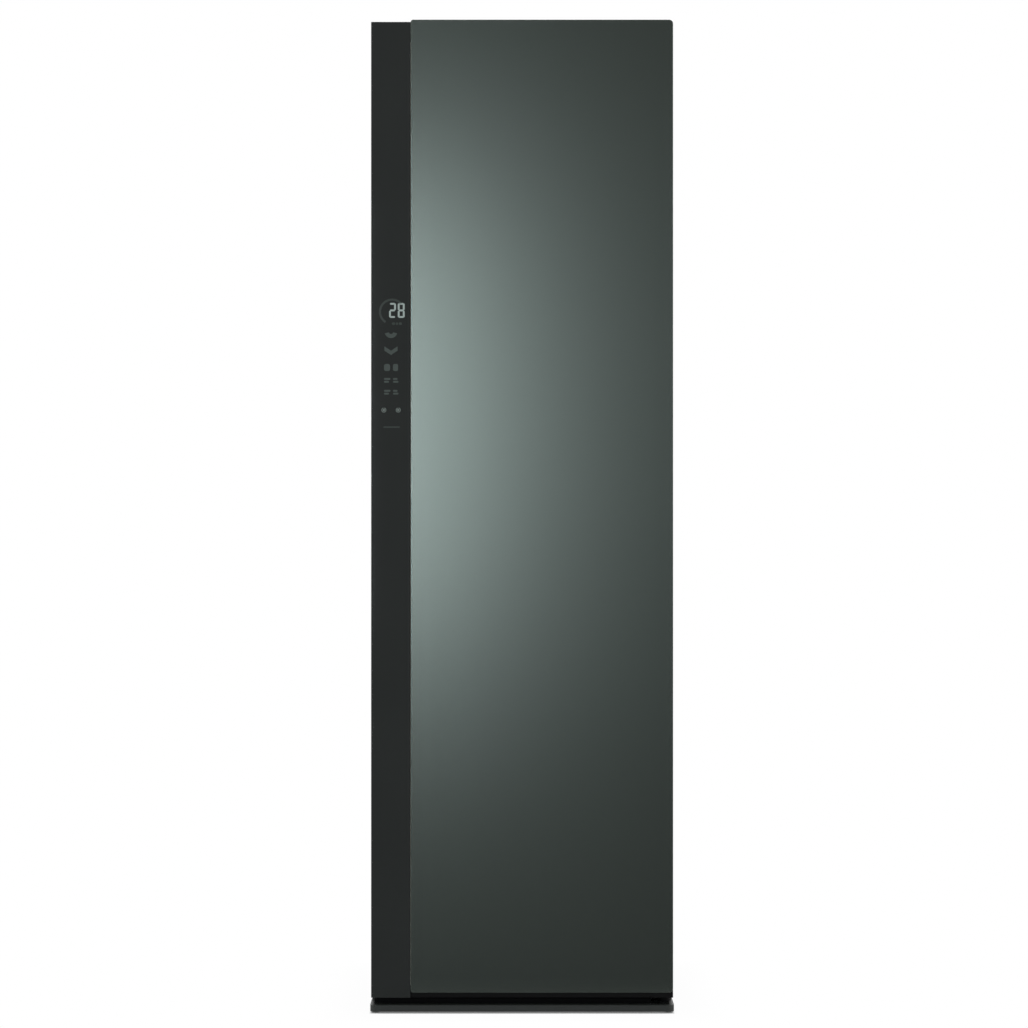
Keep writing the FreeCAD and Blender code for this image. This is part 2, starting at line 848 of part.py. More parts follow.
def make_aroma_case():
    rim_low = floor_level + seat_gap
    rim_x = (aroma_x[0] - filter_rim, aroma_x[1] + filter_rim)
    rim_y = (aroma_y[0] - filter_rim, aroma_y[1] + filter_rim)
    rim = box(rim_x, rim_y, (rim_low, rim_low + filter_rim_height))
    rim = rounded(rim, filter_rim_round, lambda e: runs_along(e, 2))
    low = floor_level - aroma_depth + seat_gap
    body = box(aroma_x, aroma_y, (low, rim_low))
    hollow = box(
        (aroma_x[0] + aroma_wall, aroma_x[1] - aroma_wall),
        (aroma_y[0] + aroma_wall, aroma_y[1] - aroma_wall),
        (low + aroma_wall, rim_low + filter_rim_height + past),
    )
    middle = (aroma_x[0] + aroma_x[1]) / 2
    ridge = box(
        (middle - aroma_ridge / 2, middle + aroma_ridge / 2),
        aroma_y,
        (rim_low, rim_low + filter_rim_height + filter_grip / 2),
    )
    save("aroma_case", join(body, rim).cut(hollow).fuse(ridge).removeSplitter())


def make_rack():
    centre = floor_level + ledge_height + seat_gap + rack_wire_radius
    side = inner_side - ledge / 2
    back = inner_back - rack_from_back
    front_wire = back - rack_depth
    edge = [
        across(rack_wire_radius, (-side, side), front_wire, centre),
        across(rack_wire_radius, (-side, side), back, centre),
        inward(rack_wire_radius, -side, (front_wire, back), centre),
        inward(rack_wire_radius, side, (front_wire, back), centre),
    ]
    for x in (-side, side):
        for y in (front_wire, back):
            edge.append(Part.makeSphere(rack_wire_radius, Vector(x, y, centre)))
    wires = []
    for index in range(1, rack_wires + 1):
        x = -side + index * 2 * side / (rack_wires + 1)
        wires.append(inward(rack_cross_radius, x, (front_wire, back), centre))
    save("shelf_rack", join(edge[0], *edge[1:], *wires))


def make_lamp_and_nozzle():
    lamp_y = frame_back + lamp_from_front
    low = ceiling_level - lamp_height
    lamp = box(
        (-lamp_length / 2, lamp_length / 2),
        (lamp_y, lamp_y + lamp_width),
        (low, ceiling_level),
    )
    save("interior_lamp", rounded(lamp, small_round, lambda e: lies_at(e, 2, low)))

    foot_centre = Vector(nozzle_x, nozzle_y, floor_level)
    base = Part.makeCone(nozzle_radius + nozzle_foot, nozzle_radius, nozzle_height, foot_centre)
    cut_top = floor_level + nozzle_height + past
    bore = upright(nozzle_bore, nozzle_x, nozzle_y, (floor_level, cut_top))
    mouth = box(
        (nozzle_x - nozzle_slot / 2, nozzle_x + nozzle_slot / 2),
        (nozzle_y - nozzle_radius * 2, nozzle_y),
        (floor_level + nozzle_height / 2, cut_top),
    )
    save("steam_nozzle", base.cut([bore, mouth]))


# Moving hanger bar: two blocks slide on two rods, and a crank pin works in the yoke.
bar_top = ceiling_level - bar_drop
rod_z = ceiling_level - slide_rod_drop
yoke_top = ceiling_level - yoke_drop
pin_foot = yoke_top + yoke_gap
deck_top = ceiling_level + liner + deck
pulley_low = deck_top + pulley_lift
core_low = pulley_low + pulley_flange
core_high = core_low + belt_width + 2 * belt_play
pulley_high = core_high + pulley_flange
bridge_low = deck_top + bridge_lift
bridge_top = bridge_low + bridge
motor_x = crank_x - pulley_spacing


def crank_opening():
    reach = bar_stroke + crank_pin_radius + crank_spare
    return upright(reach, crank_x, crank_y, (ceiling_level - past, deck_top + past))


def make_hanger_bar():
    z = (bar_top - bar_height, bar_top)
    y = (-bar_depth / 2, bar_depth / 2)
    bar = box((-bar_length / 2, bar_length / 2), y, z)
    bar = rounded(bar, bar_round, lambda e: runs_along(e, 0))
    slots = []
    for index in range(hook_slots):
        x = (index - (hook_slots - 1) / 2) * hook_pitch
        slot_x = (x - hook_slot_width / 2, x + hook_slot_width / 2)
        slot_z = (bar_top - hook_slot_depth, bar_top + past)
        slots.append(box(slot_x, (y[0] - past, y[1] + past), slot_z))
    bar = bar.cut(slots)
    blocks = []
    for side in (-1, 1):
        x = (side * slide_centre - slide_block / 2, side * slide_centre + slide_block / 2)
        block_z = (rod_z - slide_block_height / 2, rod_z + slide_block_height / 2)
        blocks.append(rounded(box(x, y, block_z), small_round, lambda e: runs_along(e, 0)))
        neck_x = (side * slide_centre - slide_neck / 2, side * slide_centre + slide_neck / 2)
        neck_y = (-slide_neck_depth / 2, slide_neck_depth / 2)
        blocks.append(box(neck_x, neck_y, (bar_top - root, block_z[0] + root)))
    web_x = (crank_x - yoke_width / 2, crank_x + yoke_width / 2)
    web = box(web_x, (y[1] - yoke_web, y[1] - root), (bar_top - bar_round, yoke_top))
    slot_half = bar_stroke + crank_pin_radius + crank_end_play
    yoke_y = (y[1] - yoke_web, crank_y + slot_half + yoke_end)
    yoke = box(web_x, yoke_y, (yoke_top - yoke_plate, yoke_top))
    slot = box(
        (crank_x - crank_pin_radius - seat_gap, crank_x + crank_pin_radius + seat_gap),
        (crank_y - slot_half, crank_y + slot_half),
        (yoke_top - yoke_plate - past, yoke_top + past),
    )
    bar = join(bar, *blocks, web, yoke.cut(slot))
    bores = []
    for side in (-1, 1):
        x = sorted((side * (slide_centre - slide_block), side * (slide_centre + slide_block)))
        bores.append(across(slide_rod_radius + running_gap, x, 0, rod_z))
    save("hanger_bar", bar.cut(bores))


def make_shaker_frame():
    pieces = []
    deck_reach = bridge_half_depth + deck_margin
    deck_x = (motor_x - deck_past_motor, slide_centre + slide_block + deck_past_slide)
    deck_y = (crank_y - deck_reach, crank_y + deck_reach)
    deck_plate = box(deck_x, deck_y, (ceiling_level + liner, deck_top))
    bridge_right = crank_x + crank_core_radius + pulley_rim + bridge_past_pulley
    bridge_x = (motor_x - bridge_half_depth, bridge_right)
    bridge_y = (crank_y - bridge_half_depth, crank_y + bridge_half_depth)
    plate = box(bridge_x, bridge_y, (bridge_low, bridge_top))
    posts = []
    for x in bridge_x:
        for y in bridge_y:
            inset_x = x + post_radius if x == bridge_x[0] else x - post_radius
            inset_y = y + post_radius if y == bridge_y[0] else y - post_radius
            posts.append(upright(post_radius, inset_x, inset_y, (deck_top - root, bridge_low + root)))
    bore_z = (bridge_low - past, bridge_top + past)
    bores = [upright(shaft_radius + running_gap, x, crank_y, bore_z) for x in (crank_x, motor_x)]
    pieces.append(join(deck_plate.cut(crank_opening()), plate.cut(bores), *posts))
    reach = slide_block / 2 + bar_stroke + slide_spare
    rod_y = (-bracket_depth / 2, bracket_depth / 2)
    for side in (-1, 1):
        centre = side * slide_centre
        rod = across(slide_rod_radius, (centre - reach - bracket, centre + reach + bracket), 0, rod_z)
        ends = []
        for end in (-1, 1):
            x = sorted((centre + end * reach, centre + end * (reach + bracket)))
            ends.append(box(x, rod_y, (rod_z - slide_rod_radius - bracket_drop, ceiling_level)))
        pieces.append(join(rod, *ends))
    save("shaker_frame", *pieces)


def pulley(x, core_radius):
    core = upright(core_radius, x, crank_y, (core_low, core_high))
    lower = upright(core_radius + pulley_rim, x, crank_y, (pulley_low, core_low))
    upper = upright(core_radius + pulley_rim, x, crank_y, (core_high, pulley_high))
    return [core, lower, upper]


def make_pulleys():
    collar_low = bridge_top + seat_gap
    shaft = upright(shaft_radius, crank_x, crank_y, (pulley_high, collar_low + root))
    collar = upright(shaft_radius * 2, crank_x, crank_y, (collar_low, collar_low + collar_height))
    pin = upright(crank_pin_radius, crank_x, crank_y - bar_stroke, (pin_foot, pulley_low))
    save("crank_pulley", join(*pulley(crank_x, crank_core_radius), shaft, collar, pin))

    shaft_top = bridge_top + shaker_shaft
    shaft = upright(shaft_radius, motor_x, crank_y, (pulley_high, shaft_top))
    save("motor_pulley", join(*pulley(motor_x, motor_core_radius), shaft))

    top = bridge_top + shaker_motor_height
    motor = upright(shaker_motor_radius, motor_x, crank_y, (bridge_top, top))
    motor = rounded(motor, shaker_motor_round, lambda e: is_ring(e) and lies_at(e, 2, top))
    bore_z = (bridge_top - past, shaft_top + seat_gap)
    bore = upright(shaft_radius + running_gap, motor_x, crank_y, bore_z)
    save("shaker_motor", motor.cut(bore))


def belt_outline(crank_radius, motor_radius, z):
    """The stadium round both pulleys, between the tangent points of its two radii."""
    lean = math.asin((crank_radius - motor_radius) / pulley_spacing)
    corners = []
    for x, radius in ((crank_x, crank_radius), (motor_x, motor_radius)):
        for side in (1, -1):
            dx = -radius * math.sin(lean)
            dy = side * radius * math.cos(lean)
            corners.append(Vector(x + dx, crank_y + dy, z))
    crank_far = Vector(crank_x + crank_radius, crank_y, z)
    motor_far = Vector(motor_x - motor_radius, crank_y, z)
    edges = [
        Part.Arc(corners[1], crank_far, corners[0]).toShape(),
        Part.LineSegment(corners[0], corners[2]).toShape(),
        Part.Arc(corners[2], motor_far, corners[3]).toShape(),
        Part.LineSegment(corners[3], corners[1]).toShape(),
    ]
    return Part.Face(Part.Wire(edges))


def make_belt():
    low = core_low + belt_play
    inner = (crank_core_radius + belt_play, motor_core_radius + belt_play)
    outer = (inner[0] + belt_thickness, inner[1] + belt_thickness)
    loop = belt_outline(*outer, low).cut(belt_outline(*inner, low))
    save("drive_belt", loop.extrude(Vector(0, 0, belt_width)).Solids[0])


# Air path: filter, two heat exchangers, fan in its plenum, and the riser up the back.
duct_x = (filter_x[0] - duct_side, filter_x[1] + duct_side)
duct_z = (floor_level - liner - duct_height, floor_level - liner)
duct_front = frame_back + filter_front - duct_side
exchanger_front = bay_back + exchanger_from_bay
duct_end = exchanger_front + 2 * exchanger_depth + exchanger_gap + duct_tail
plenum_y = (duct_end, inner_back + liner)
plenum_z = (duct_z[0] - plenum_drop, duct_z[1])
fan_z = (plenum_z[0] + plenum_z[1]) / 2


def shell(x, y, z, wall_thickness):
    inner = box(
        (x[0] + wall_thickness, x[1] - wall_thickness),
        (y[0] + wall_thickness, y[1] - wall_thickness),
        (z[0] + wall_thickness, z[1] - wall_thickness),
    )
    return box(x, y, z).cut(inner)


def make_ducts():
    duct = shell(duct_x, (duct_front, duct_end), duct_z, duct_wall)
    end_way = box(
        (duct_x[0] + duct_wall, duct_x[1] - duct_wall),
        (duct_end - 2 * duct_wall, duct_end + past),
        (duct_z[0] + duct_wall, duct_z[1] - duct_wall),
    )
    duct = duct.cut([end_way, filter_space(seat_gap)])

    back_y = (inner_back + liner, inner_back + liner + riser_depth)
    top = ceiling_level - outlet_below_ceiling + outlet_slots * outlet_pitch
    riser_side = (riser_x - riser_width / 2, riser_x + riser_width / 2)
    riser = shell(riser_side, back_y, (plenum_z[0], top), duct_wall)
    way_x = (riser_side[0] + duct_wall, riser_side[1] - duct_wall)
    way_y = (back_y[0] - past, back_y[0] + duct_wall)
    low = ceiling_level - outlet_below_ceiling
    lower_way = box(way_x, way_y, (plenum_z[0] + duct_wall, plenum_z[1] - duct_wall))
    upper_way = box(way_x, way_y, (low - outlet_slot, top - duct_wall))
    save("air_ducts", duct, riser.cut([lower_way, upper_way]))


def make_exchangers():
    blocks = []
    for index in range(2):
        y0 = exchanger_front + index * (exchanger_depth + exchanger_gap)
        x = (duct_x[0] + duct_wall, duct_x[1] - duct_wall)
        z = (duct_z[0] + duct_wall, duct_z[1] - duct_wall)
        block = box(x, (y0, y0 + exchanger_depth), z)
        pitch = (x[1] - x[0]) / fins
        gaps = [
            box(
                (x[0] + fin + n * pitch, x[0] + (n + 1) * pitch),
                (y0 - past, y0 + exchanger_depth - fin_root),
                (z[0] + fin_foot, z[1] + past),
            )
            for n in range(fins - 1)
        ]
        blocks.append(block.cut(gaps))
    save("heat_exchangers", *blocks)


def make_fan():
    housing = shell(duct_x, plenum_y, plenum_z, duct_wall)
    inlet_y = (plenum_y[0] - past, plenum_y[0] + duct_wall + past)
    inlet = inward(fan_mouth_radius, riser_x, inlet_y, fan_z)
    outlet = box(
        (riser_x - riser_width / 2 + duct_wall, riser_x + riser_width / 2 - duct_wall),
        (plenum_y[1] - duct_wall - past, plenum_y[1] + past),
        (plenum_z[0] + duct_wall, plenum_z[1] - duct_wall),
    )
    save("blower_housing", housing.cut([inlet, outlet]))

    wheel_front = plenum_y[0] + duct_wall + fan_inlet_gap
    wheel_back = wheel_front + fan_depth
    motor_front = wheel_back + fan_motor_gap
    motor = inward(fan_motor_radius, riser_x, (motor_front, motor_front + fan_motor_depth), fan_z)
    arm = box(
        (riser_x - fan_arm / 2, riser_x + fan_arm / 2),
        (motor_front + fan_arm_set_back, motor_front + fan_arm_set_back + fan_arm_depth),
        (plenum_z[0] + duct_wall, fan_z - fan_motor_radius + small_round),
    )
    bore_y = (motor_front - past, motor_front + fan_motor_bore)
    bore = inward(shaft_radius + running_gap, riser_x, bore_y, fan_z)
    save("blower_motor", join(motor, arm).cut(bore))

    back_disc = inward(fan_radius, riser_x, (wheel_back - fan_disc, wheel_back), fan_z)
    ring = inward(fan_radius, riser_x, (wheel_front, wheel_front + fan_disc), fan_z)
    ring_hole_y = (wheel_front - past, wheel_front + fan_disc + past)
    ring = ring.cut(inward(fan_radius - fan_ring, riser_x, ring_hole_y, fan_z))
    blades = []
    for index in range(fan_blades):
        blade = box(
            (riser_x - fan_blade / 2, riser_x + fan_blade / 2),
            (wheel_front + root, wheel_back - root),
            (fan_z + fan_radius - fan_ring - root, fan_z + fan_radius - root),
        )
        blade.rotate(Vector(riser_x, 0, fan_z), Vector(0, 1, 0), index * 360 / fan_blades)
        blades.append(blade)
    hub = inward(fan_hub_radius, riser_x, (wheel_back - fan_hub_depth, wheel_back), fan_z)
    shaft_y = (wheel_back - root, motor_front + fan_motor_bore - 2 * root)
    shaft = inward(shaft_radius, riser_x, shaft_y, fan_z)
    save("blower_wheel", join(back_disc, ring, hub, shaft, *blades))


def make_compressor():
    low = lip_top + grommet_height
    plate_half = compressor_radius + compressor_plate_margin
    plate = box(
        (compressor_x - plate_half, compressor_x + plate_half),
        (compressor_y - plate_half, compressor_y + plate_half),
        (low, low + compressor_plate),
    )
    plate = rounded(plate, compressor_plate_round, lambda e: runs_along(e, 2))
    body_low = low + compressor_plate
    top = body_low + compressor_height
    body = upright(compressor_radius, compressor_x, compressor_y, (body_low, top))
    body = rounded(body, compressor_round, lambda e: is_ring(e) and lies_at(e, 2, top))
    hollow = upright(
        compressor_radius - compressor_wall,
        compressor_x,
        compressor_y,
        (body_low, top - compressor_crown),
    )
    save("compressor", body.cut(hollow))
    grommet_reach = plate_half - grommet_inset
    grommets = []
    for x in (compressor_x - grommet_reach, compressor_x + grommet_reach):
        for y in (compressor_y - grommet_reach, compressor_y + grommet_reach):
            grommets.append(upright(grommet_radius, x, y, (lip_top, lip_top + grommet_height)))
    save("compressor_mounts", plate, *grommets)
    return top


def make_pipes(compressor_top):
    x_side = duct_x[1]
    cold_y = exchanger_front + exchanger_depth / 2
    hot_y = cold_y + exchanger_depth + exchanger_gap
    suction_x = compressor_x + suction_offset
    high = duct_z[1] - pipe_from_duct
    low = duct_z[0] + pipe_from_duct
    hot = tube(pipe_radius, pipe_bend, [
        (compressor_x, compressor_y, compressor_top),
        (compressor_x, compressor_y, high),
        (compressor_x, hot_y, high),
        (x_side, hot_y, high),
    ])
    cold = tube(pipe_radius, pipe_bend, [
        (suction_x, compressor_y, compressor_top),
        (suction_x, compressor_y, low),
        (suction_x, cold_y, low),
        (x_side, cold_y, low),
    ])
    link = tube(pipe_radius / 2, pipe_bend, [
        (x_side, hot_y, low + link_inset),
        (x_side + link_reach, hot_y, low + link_inset),
        (x_side + link_reach, cold_y, high - link_inset),
        (x_side, cold_y, high - link_inset),
    ])
    save("refrigerant_pipes", hot, cold, link)


def make_steam():
    left = -inner_side + boiler_from_side
    x = (left, left + boiler_width)
    back = inner_back - boiler_from_back
    y = (back - boiler_depth, back)
    low = lip_top + boiler_leg
    top = low + boiler_height
    middle = (low + top) / 2
    body = rounded(box(x, y, (low, top)), boiler_round, lambda e: runs_along(e, 2))
    rim = box(
        (x[0] - boiler_flange, x[1] + boiler_flange),
        (y[0] - boiler_flange, y[1] + boiler_flange),
        (middle, middle + boiler_flange_height),
    )
    rim = rounded(rim, boiler_round, lambda e: runs_along(e, 2))
    leg_y = (y[0] + boiler_foot_inset, y[1] - boiler_foot_inset)
    left_leg = x[0] + boiler_foot_inset
    right_leg = x[1] - boiler_foot_inset - boiler_foot
    legs = [box((leg, leg + boiler_foot), leg_y, (lip_top, low)) for leg in (left_leg, right_leg)]
    save("steam_generator", join(body, rim, *legs))

    port_x = x[1] - port_from_end
    port_y = (y[0] + y[1]) / 2
    steam = tube(hose_radius, hose_bend, [
        (port_x, port_y, top),
        (port_x, port_y, top + hose_rise),
        (nozzle_x, nozzle_y, top + hose_rise + hose_cross_rise),
        (nozzle_x, nozzle_y, floor_level),
    ])
    pump_axis = lip_top + pump_height
    pump_front = bay_back + bay_wall + pump_from_bay
    pump_back = pump_front + pump_length
    port_z = low + water_port_height
    water = tube(water_hose_radius, water_hose_bend, [
        (pump_x, pump_back, pump_axis),
        (pump_x, pump_back + water_hose_run, pump_axis),
        (port_x, y[0] - water_port_run, port_z),
        (port_x, y[0], port_z),
    ])
    save("hoses", steam, water)

    pump = inward(pump_radius, pump_x, (pump_front, pump_back), pump_axis)
    spout = inward(pump_spout_radius, pump_x, (bay_back + bay_wall, pump_front), pump_axis)
    stand_x = (pump_x - pump_radius, pump_x + pump_radius)
    stand_y = pump_front + pump_bracket_set_back
    stand = box(stand_x, (stand_y, stand_y + pump_bracket), (lip_top, pump_axis))
    foot_plate = box(stand_x, (stand_y, stand_y + pump_foot), (lip_top, lip_top + pump_bracket))
    save("water_pump", join(pump, spout, stand, foot_plate))


def make_control_box():
    left = -inner_side + control_from_side
    right = left + control_width
    near = bay_back + bay_wall + control_from_bay
    top = lip_top + control_height
    case = box((left, right), (near, near + control_depth), (lip_top, top))
    case = rounded(case, control_round, lambda e: runs_along(e, 2))
    rib_x = (left + control_rib_inset, right - control_rib_inset)
    ribs = []
    for index in range(control_ribs):
        rib_y = near + control_rib_inset + index * control_rib_pitch
        ribs.append(box(rib_x, (rib_y, rib_y + control_rib), (top - root, top + control_rib)))
    save("control_box", join(case, *ribs))


def hinge_plan(y_back, margin, z):
    """A plate that runs from behind to a round nose over the hinge axis."""
    nose = hinge_nose_radius + margin
    x = (hinge_x - hinge_reach_left - margin, hinge_x + hinge_reach_right + margin)
    plate = box(x, (hinge_y, y_back), z)
    tip = upright(nose, hinge_x, hinge_y, z)
    trim = box(x, (hinge_y - nose, hinge_y + root), z)
    return join(plate, tip.common(trim))


def make_hinges():
    low_z = (lip_top, lip_top + hinge_plate)
    lower = hinge_plan(front - seat_gap, 0, low_z)
    lower_pin = upright(hinge_pin_radius, hinge_x, hinge_y, (lip_top, door_bottom + hinge_pin_grip))
    lower = join(lower, lower_pin).cut(screw_holes["lower_hinge"])
    top_z = (cabinet_top, cabinet_top + hinge_plate)
    upper = hinge_plan(front + hinge_top_length, 0, top_z)
    upper_pin = upright(hinge_pin_radius, hinge_x, hinge_y, (stile_top - hinge_pin_grip, top_z[1]))
    upper = join(upper, upper_pin).cut(screw_holes["upper_hinge"])
    save("hinge_brackets", lower, upper)

    cover_top = cabinet_top + cover_height
    plate_back = front + hinge_top_length
    inside = cover_margin - cover_wall
    outer = hinge_plan(plate_back + cover_margin, cover_margin, (cabinet_top, cover_top))
    inner = hinge_plan(plate_back + inside, inside, (cabinet_top, cover_top - cover_wall))
    forward = box((-half, half), (lip_front, front), (cabinet_top - past, cabinet_top + seat_gap))
    cover = outer.cut([inner, forward])
    save("hinge_cover", cover)

    bushes = []
    lower_flange = (lip_top + hinge_plate + seat_gap, door_bottom)
    upper_flange = (stile_top, cabinet_top - seat_gap)
    for flange_z, body_z in (
        (lower_flange, (door_bottom, door_bottom + hinge_pin_grip)),
        (upper_flange, (stile_top - hinge_pin_grip, stile_top)),
    ):
        body = upright(bush_radius, hinge_x, hinge_y, body_z)
        collar = upright(bush_radius + bush_collar, hinge_x, hinge_y, flange_z)
        span = (min(flange_z[0], body_z[0]) - past, max(flange_z[1], body_z[1]) + past)
        bore = upright(hinge_pin_radius + running_gap, hinge_x, hinge_y, span)
        bushes.append(join(body, collar).cut(bore))
    save("hinge_bushes", *bushes)


def display_space(margin):
    x0 = -half + display_from_edge
    x = (x0 - margin, x0 + display_width + margin)
    y = (glass_back - margin, glass_back + display_depth + margin)
    return box(x, y, (display_low - margin, display_low + display_height + margin))


def grip_space():
    """A finger groove in the door's left edge, with sloping ends."""
    y0 = face + grip_from_face
    y1 = y0 + grip_width
    corners = [
        Vector(-half - past, y0, grip_low),
        Vector(-half - past, y0, grip_low + grip_length),
        Vector(-half + grip_depth, y0, grip_low + grip_length - grip_slope),
        Vector(-half + grip_depth, y0, grip_low + grip_slope),
    ]
    outline = Part.Face(Part.makePolygon(corners + [corners[0]]))
    return outline.extrude(Vector(0, y1 - y0, 0))


def make_door_frame():
    y = (glass_back, frame_skin)
    sill_y = (face + glass - strip_glass, glass_back)
    left_x = (-half, -half + stile_width)
    right_x = (half - stile_width, half)
    rail_x = (left_x[1], right_x[0])
    left = box(left_x, y, (door_bottom, strip_top)).cut([display_space(0), grip_space()])
    right = box(right_x, y, (door_bottom, stile_top))
    right_sill = box(right_x, sill_y, (door_bottom, panel_bottom - seat_gap))
    lower_bore_z = (door_bottom - past, door_bottom + hinge_pin_grip)
    upper_bore_z = (stile_top - hinge_pin_grip, stile_top + past)
    lower_bore = upright(bush_radius, hinge_x, hinge_y, lower_bore_z)
    upper_bore = upright(bush_radius, hinge_x, hinge_y, upper_bore_z)
    right = join(right, right_sill).cut([lower_bore, upper_bore])
    top = box(rail_x, y, (strip_top - rail_height, strip_top))
    bottom = box(rail_x, y, (door_bottom, door_bottom + bottom_rail_height))
    sill = box((strip_right + strip_joint, rail_x[1]), sill_y, (door_bottom, panel_bottom - seat_gap))
    save("door_frame", left, right, top, join(bottom, sill))


def make_door_glass():
    panel = box((strip_right, half), (face, glass_back), (panel_bottom, overall_height))
    panel = rounded(panel, panel_corner_radius, lambda e: runs_along(e, 1) and lies_at(e, 0, half))
    save("door_glass_panel", panel)
    strip_x = (-half, strip_right - strip_joint)
    strip = box(strip_x, (glass_back - strip_glass, glass_back), (door_bottom, strip_top))
    save("control_glass", strip)

    x0 = -half + display_from_edge
    case = box(
        (x0, x0 + display_width),
        (glass_back, glass_back + display_depth),
        (display_low, display_low + display_height),
    )
    save("display_module", case)


def make_door_liner():
    rim_x = (-half + liner_margin, half - liner_margin)
    rim_z = (door_bottom + liner_margin / 2, cabinet_top - liner_margin)
    tray_x = (-half + tray_side, half - tray_side)
    tray_z = (door_bottom + tray_low, strip_top - tray_high)
    rim = box(rim_x, (frame_skin, door_back), rim_z)
    tub = box(
        (tray_x[0] - liner_wall, tray_x[1] + liner_wall),
        (tray_floor - liner_wall, door_back),
        (tray_z[0] - liner_wall, tray_z[1] + liner_wall),
    )
    hollow = box(tray_x, (tray_floor, door_back + past), tray_z)
    save("door_liner", join(rim, tub).cut(hollow))

    slab_x = (-half + stile_width, half - stile_width)
    slab_z = (door_bottom + bottom_rail_height, strip_top - rail_height)
    slab = box(slab_x, (glass_back, tray_floor - liner_wall), slab_z)
    save("door_insulation", slab.cut(display_space(0)))


def make_gasket():
    y = (door_back, front - seat_gap)
    outer_x = half - seal_inset
    low = door_bottom + seal_bottom
    high = cabinet_top - seal_top
    inner = [(-outer_x + seal_width, low + seal_width), (outer_x - seal_width, low + seal_width),
             (outer_x - seal_width, high - seal_width), (-outer_x + seal_width, high - seal_width)]
    outer = [(-outer_x, low), (outer_x, low), (outer_x, high), (-outer_x, high)]
    bars = []
    for index in range(4):
        after = (index + 1) % 4
        corners = [outer[index], outer[after], inner[after], inner[index]]
        points = [Vector(x, y[0], z) for x, z in corners]
        bar = Part.Face(Part.makePolygon(points + [points[0]])).extrude(Vector(0, y[1] - y[0], 0))
        bars.append(bar)
    save("door_gasket", *bars)


press_left = -press_width / 2
press_right = press_width / 2
press_axis_x = press_right + press_knuckle_radius + press_axis_gap
press_front = tray_floor + press_plate + press_gap
press_axis_y = press_front + press_thickness / 2
press_top = press_low + press_height
clamp_axis_z = press_top + clamp_above
clamp_axis_y = tray_floor + press_plate + clamp_stand


def at_press_corner(edge):
    return runs_along(edge, 1) and lies_at(edge, 0, press_left)


def make_press():
    plate_y = (tray_floor, tray_floor + press_plate)
    plate_x = (press_left, press_axis_x + press_knuckle_radius)
    plate = box(plate_x, plate_y, (press_low, clamp_axis_z + clamp_height / 2))
    plate = rounded(plate, press_corner_radius, at_press_corner)
    ears = []
    for z in ((press_low, press_low + press_ear), (press_top - press_ear, press_top)):
        arm = box(
            (press_axis_x - press_knuckle_radius, press_axis_x + press_knuckle_radius),
            (plate_y[1] - root, press_axis_y),
            z,
        )
        tip = upright(press_knuckle_radius, press_axis_x, press_axis_y, z)
        ears += [arm, tip]
    clamp_ear_y = (plate_y[1] - root, clamp_axis_y + clamp_ear_reach)
    clamp_ear_z = (clamp_axis_z - clamp_ear_height / 2, clamp_axis_z + clamp_ear_height / 2)
    ears += [box(x, clamp_ear_y, clamp_ear_z) for x in clamp_ears()]
    plate = join(plate, *ears)
    bore_radius = press_pin_radius + running_gap
    bores = [
        upright(bore_radius, press_axis_x, press_axis_y, (press_low - past, press_top + past)),
        across(bore_radius, (-clamp_width, clamp_width), clamp_axis_y, clamp_axis_z),
    ]
    save("press_plate", plate.cut(bores))

    low = press_low + press_ear + seat_gap
    high = press_top - press_ear - seat_gap
    panel_y = (press_front, press_front + press_thickness)
    panel_right = press_axis_x - press_knuckle_radius - press_side_gap
    panel = box((press_left, panel_right), panel_y, (low, high))
    panel = rounded(panel, press_corner_radius, at_press_corner)
    web_x = (panel_right - root, press_axis_x)
    web_y = (press_axis_y - press_web / 2, press_axis_y + press_web / 2)
    knuckles = []
    for z in ((low, low + press_knuckle), (high - press_knuckle, high)):
        knuckles.append(upright(press_knuckle_radius, press_axis_x, press_axis_y, z))
        knuckles.append(box(web_x, web_y, z))
    pins = [
        upright(press_pin_radius, press_axis_x, press_axis_y, (press_low + pin_short, low + root)),
        upright(press_pin_radius, press_axis_x, press_axis_y, (high - root, press_top - pin_short)),
    ]
    middle = (press_low + press_top) / 2
    grip_left = press_left + press_grip_inset
    grip = box(
        (grip_left, grip_left + press_grip_width),
        (panel_y[1] - press_grip_depth, panel_y[1] + past),
        (middle - press_grip_height / 2, middle + press_grip_height / 2),
    )
    grip = rounded(grip, press_grip_width * round_end, lambda e: runs_along(e, 1))
    save("press_panel", join(panel, *knuckles, *pins).cut(grip))

    jaw = box(
        (-clamp_width / 2, clamp_width / 2),
        (clamp_axis_y - clamp_thickness / 2, clamp_axis_y + clamp_thickness / 2),
        (clamp_axis_z - clamp_height / 2, clamp_axis_z + clamp_height / 2),
    )
    jaw = rounded(jaw, small_round, lambda e: runs_along(e, 1))
    left_ear, right_ear = clamp_ears()
    pin_x = (left_ear[0] + pin_short, right_ear[1] - pin_short)
    pin = across(press_pin_radius, pin_x, clamp_axis_y, clamp_axis_z)
    save("waist_clamp", join(jaw, pin))


def clamp_ears():
    near = clamp_width / 2 + seat_gap
    return [(-near - clamp_ear, -near), (near, near + clamp_ear)]


os.makedirs("parts", exist_ok=True)

# Hinge screws come first, because other pieces take their holes.
screw_x = hinge_x - screw_from_pin
upper_length = hinge_plate + sheet
lower_length = hinge_plate + base_top
for place in upper_screws:
    add_screw(screw_x, front + place, cabinet_top + hinge_plate, upper_length, ("top", "upper_hinge"))
for place in lower_screws:
    add_screw(screw_x, front - place, lip_top + hinge_plate, lower_length, ("base", "lower_hinge"))
save("hinge_screws", *screws)

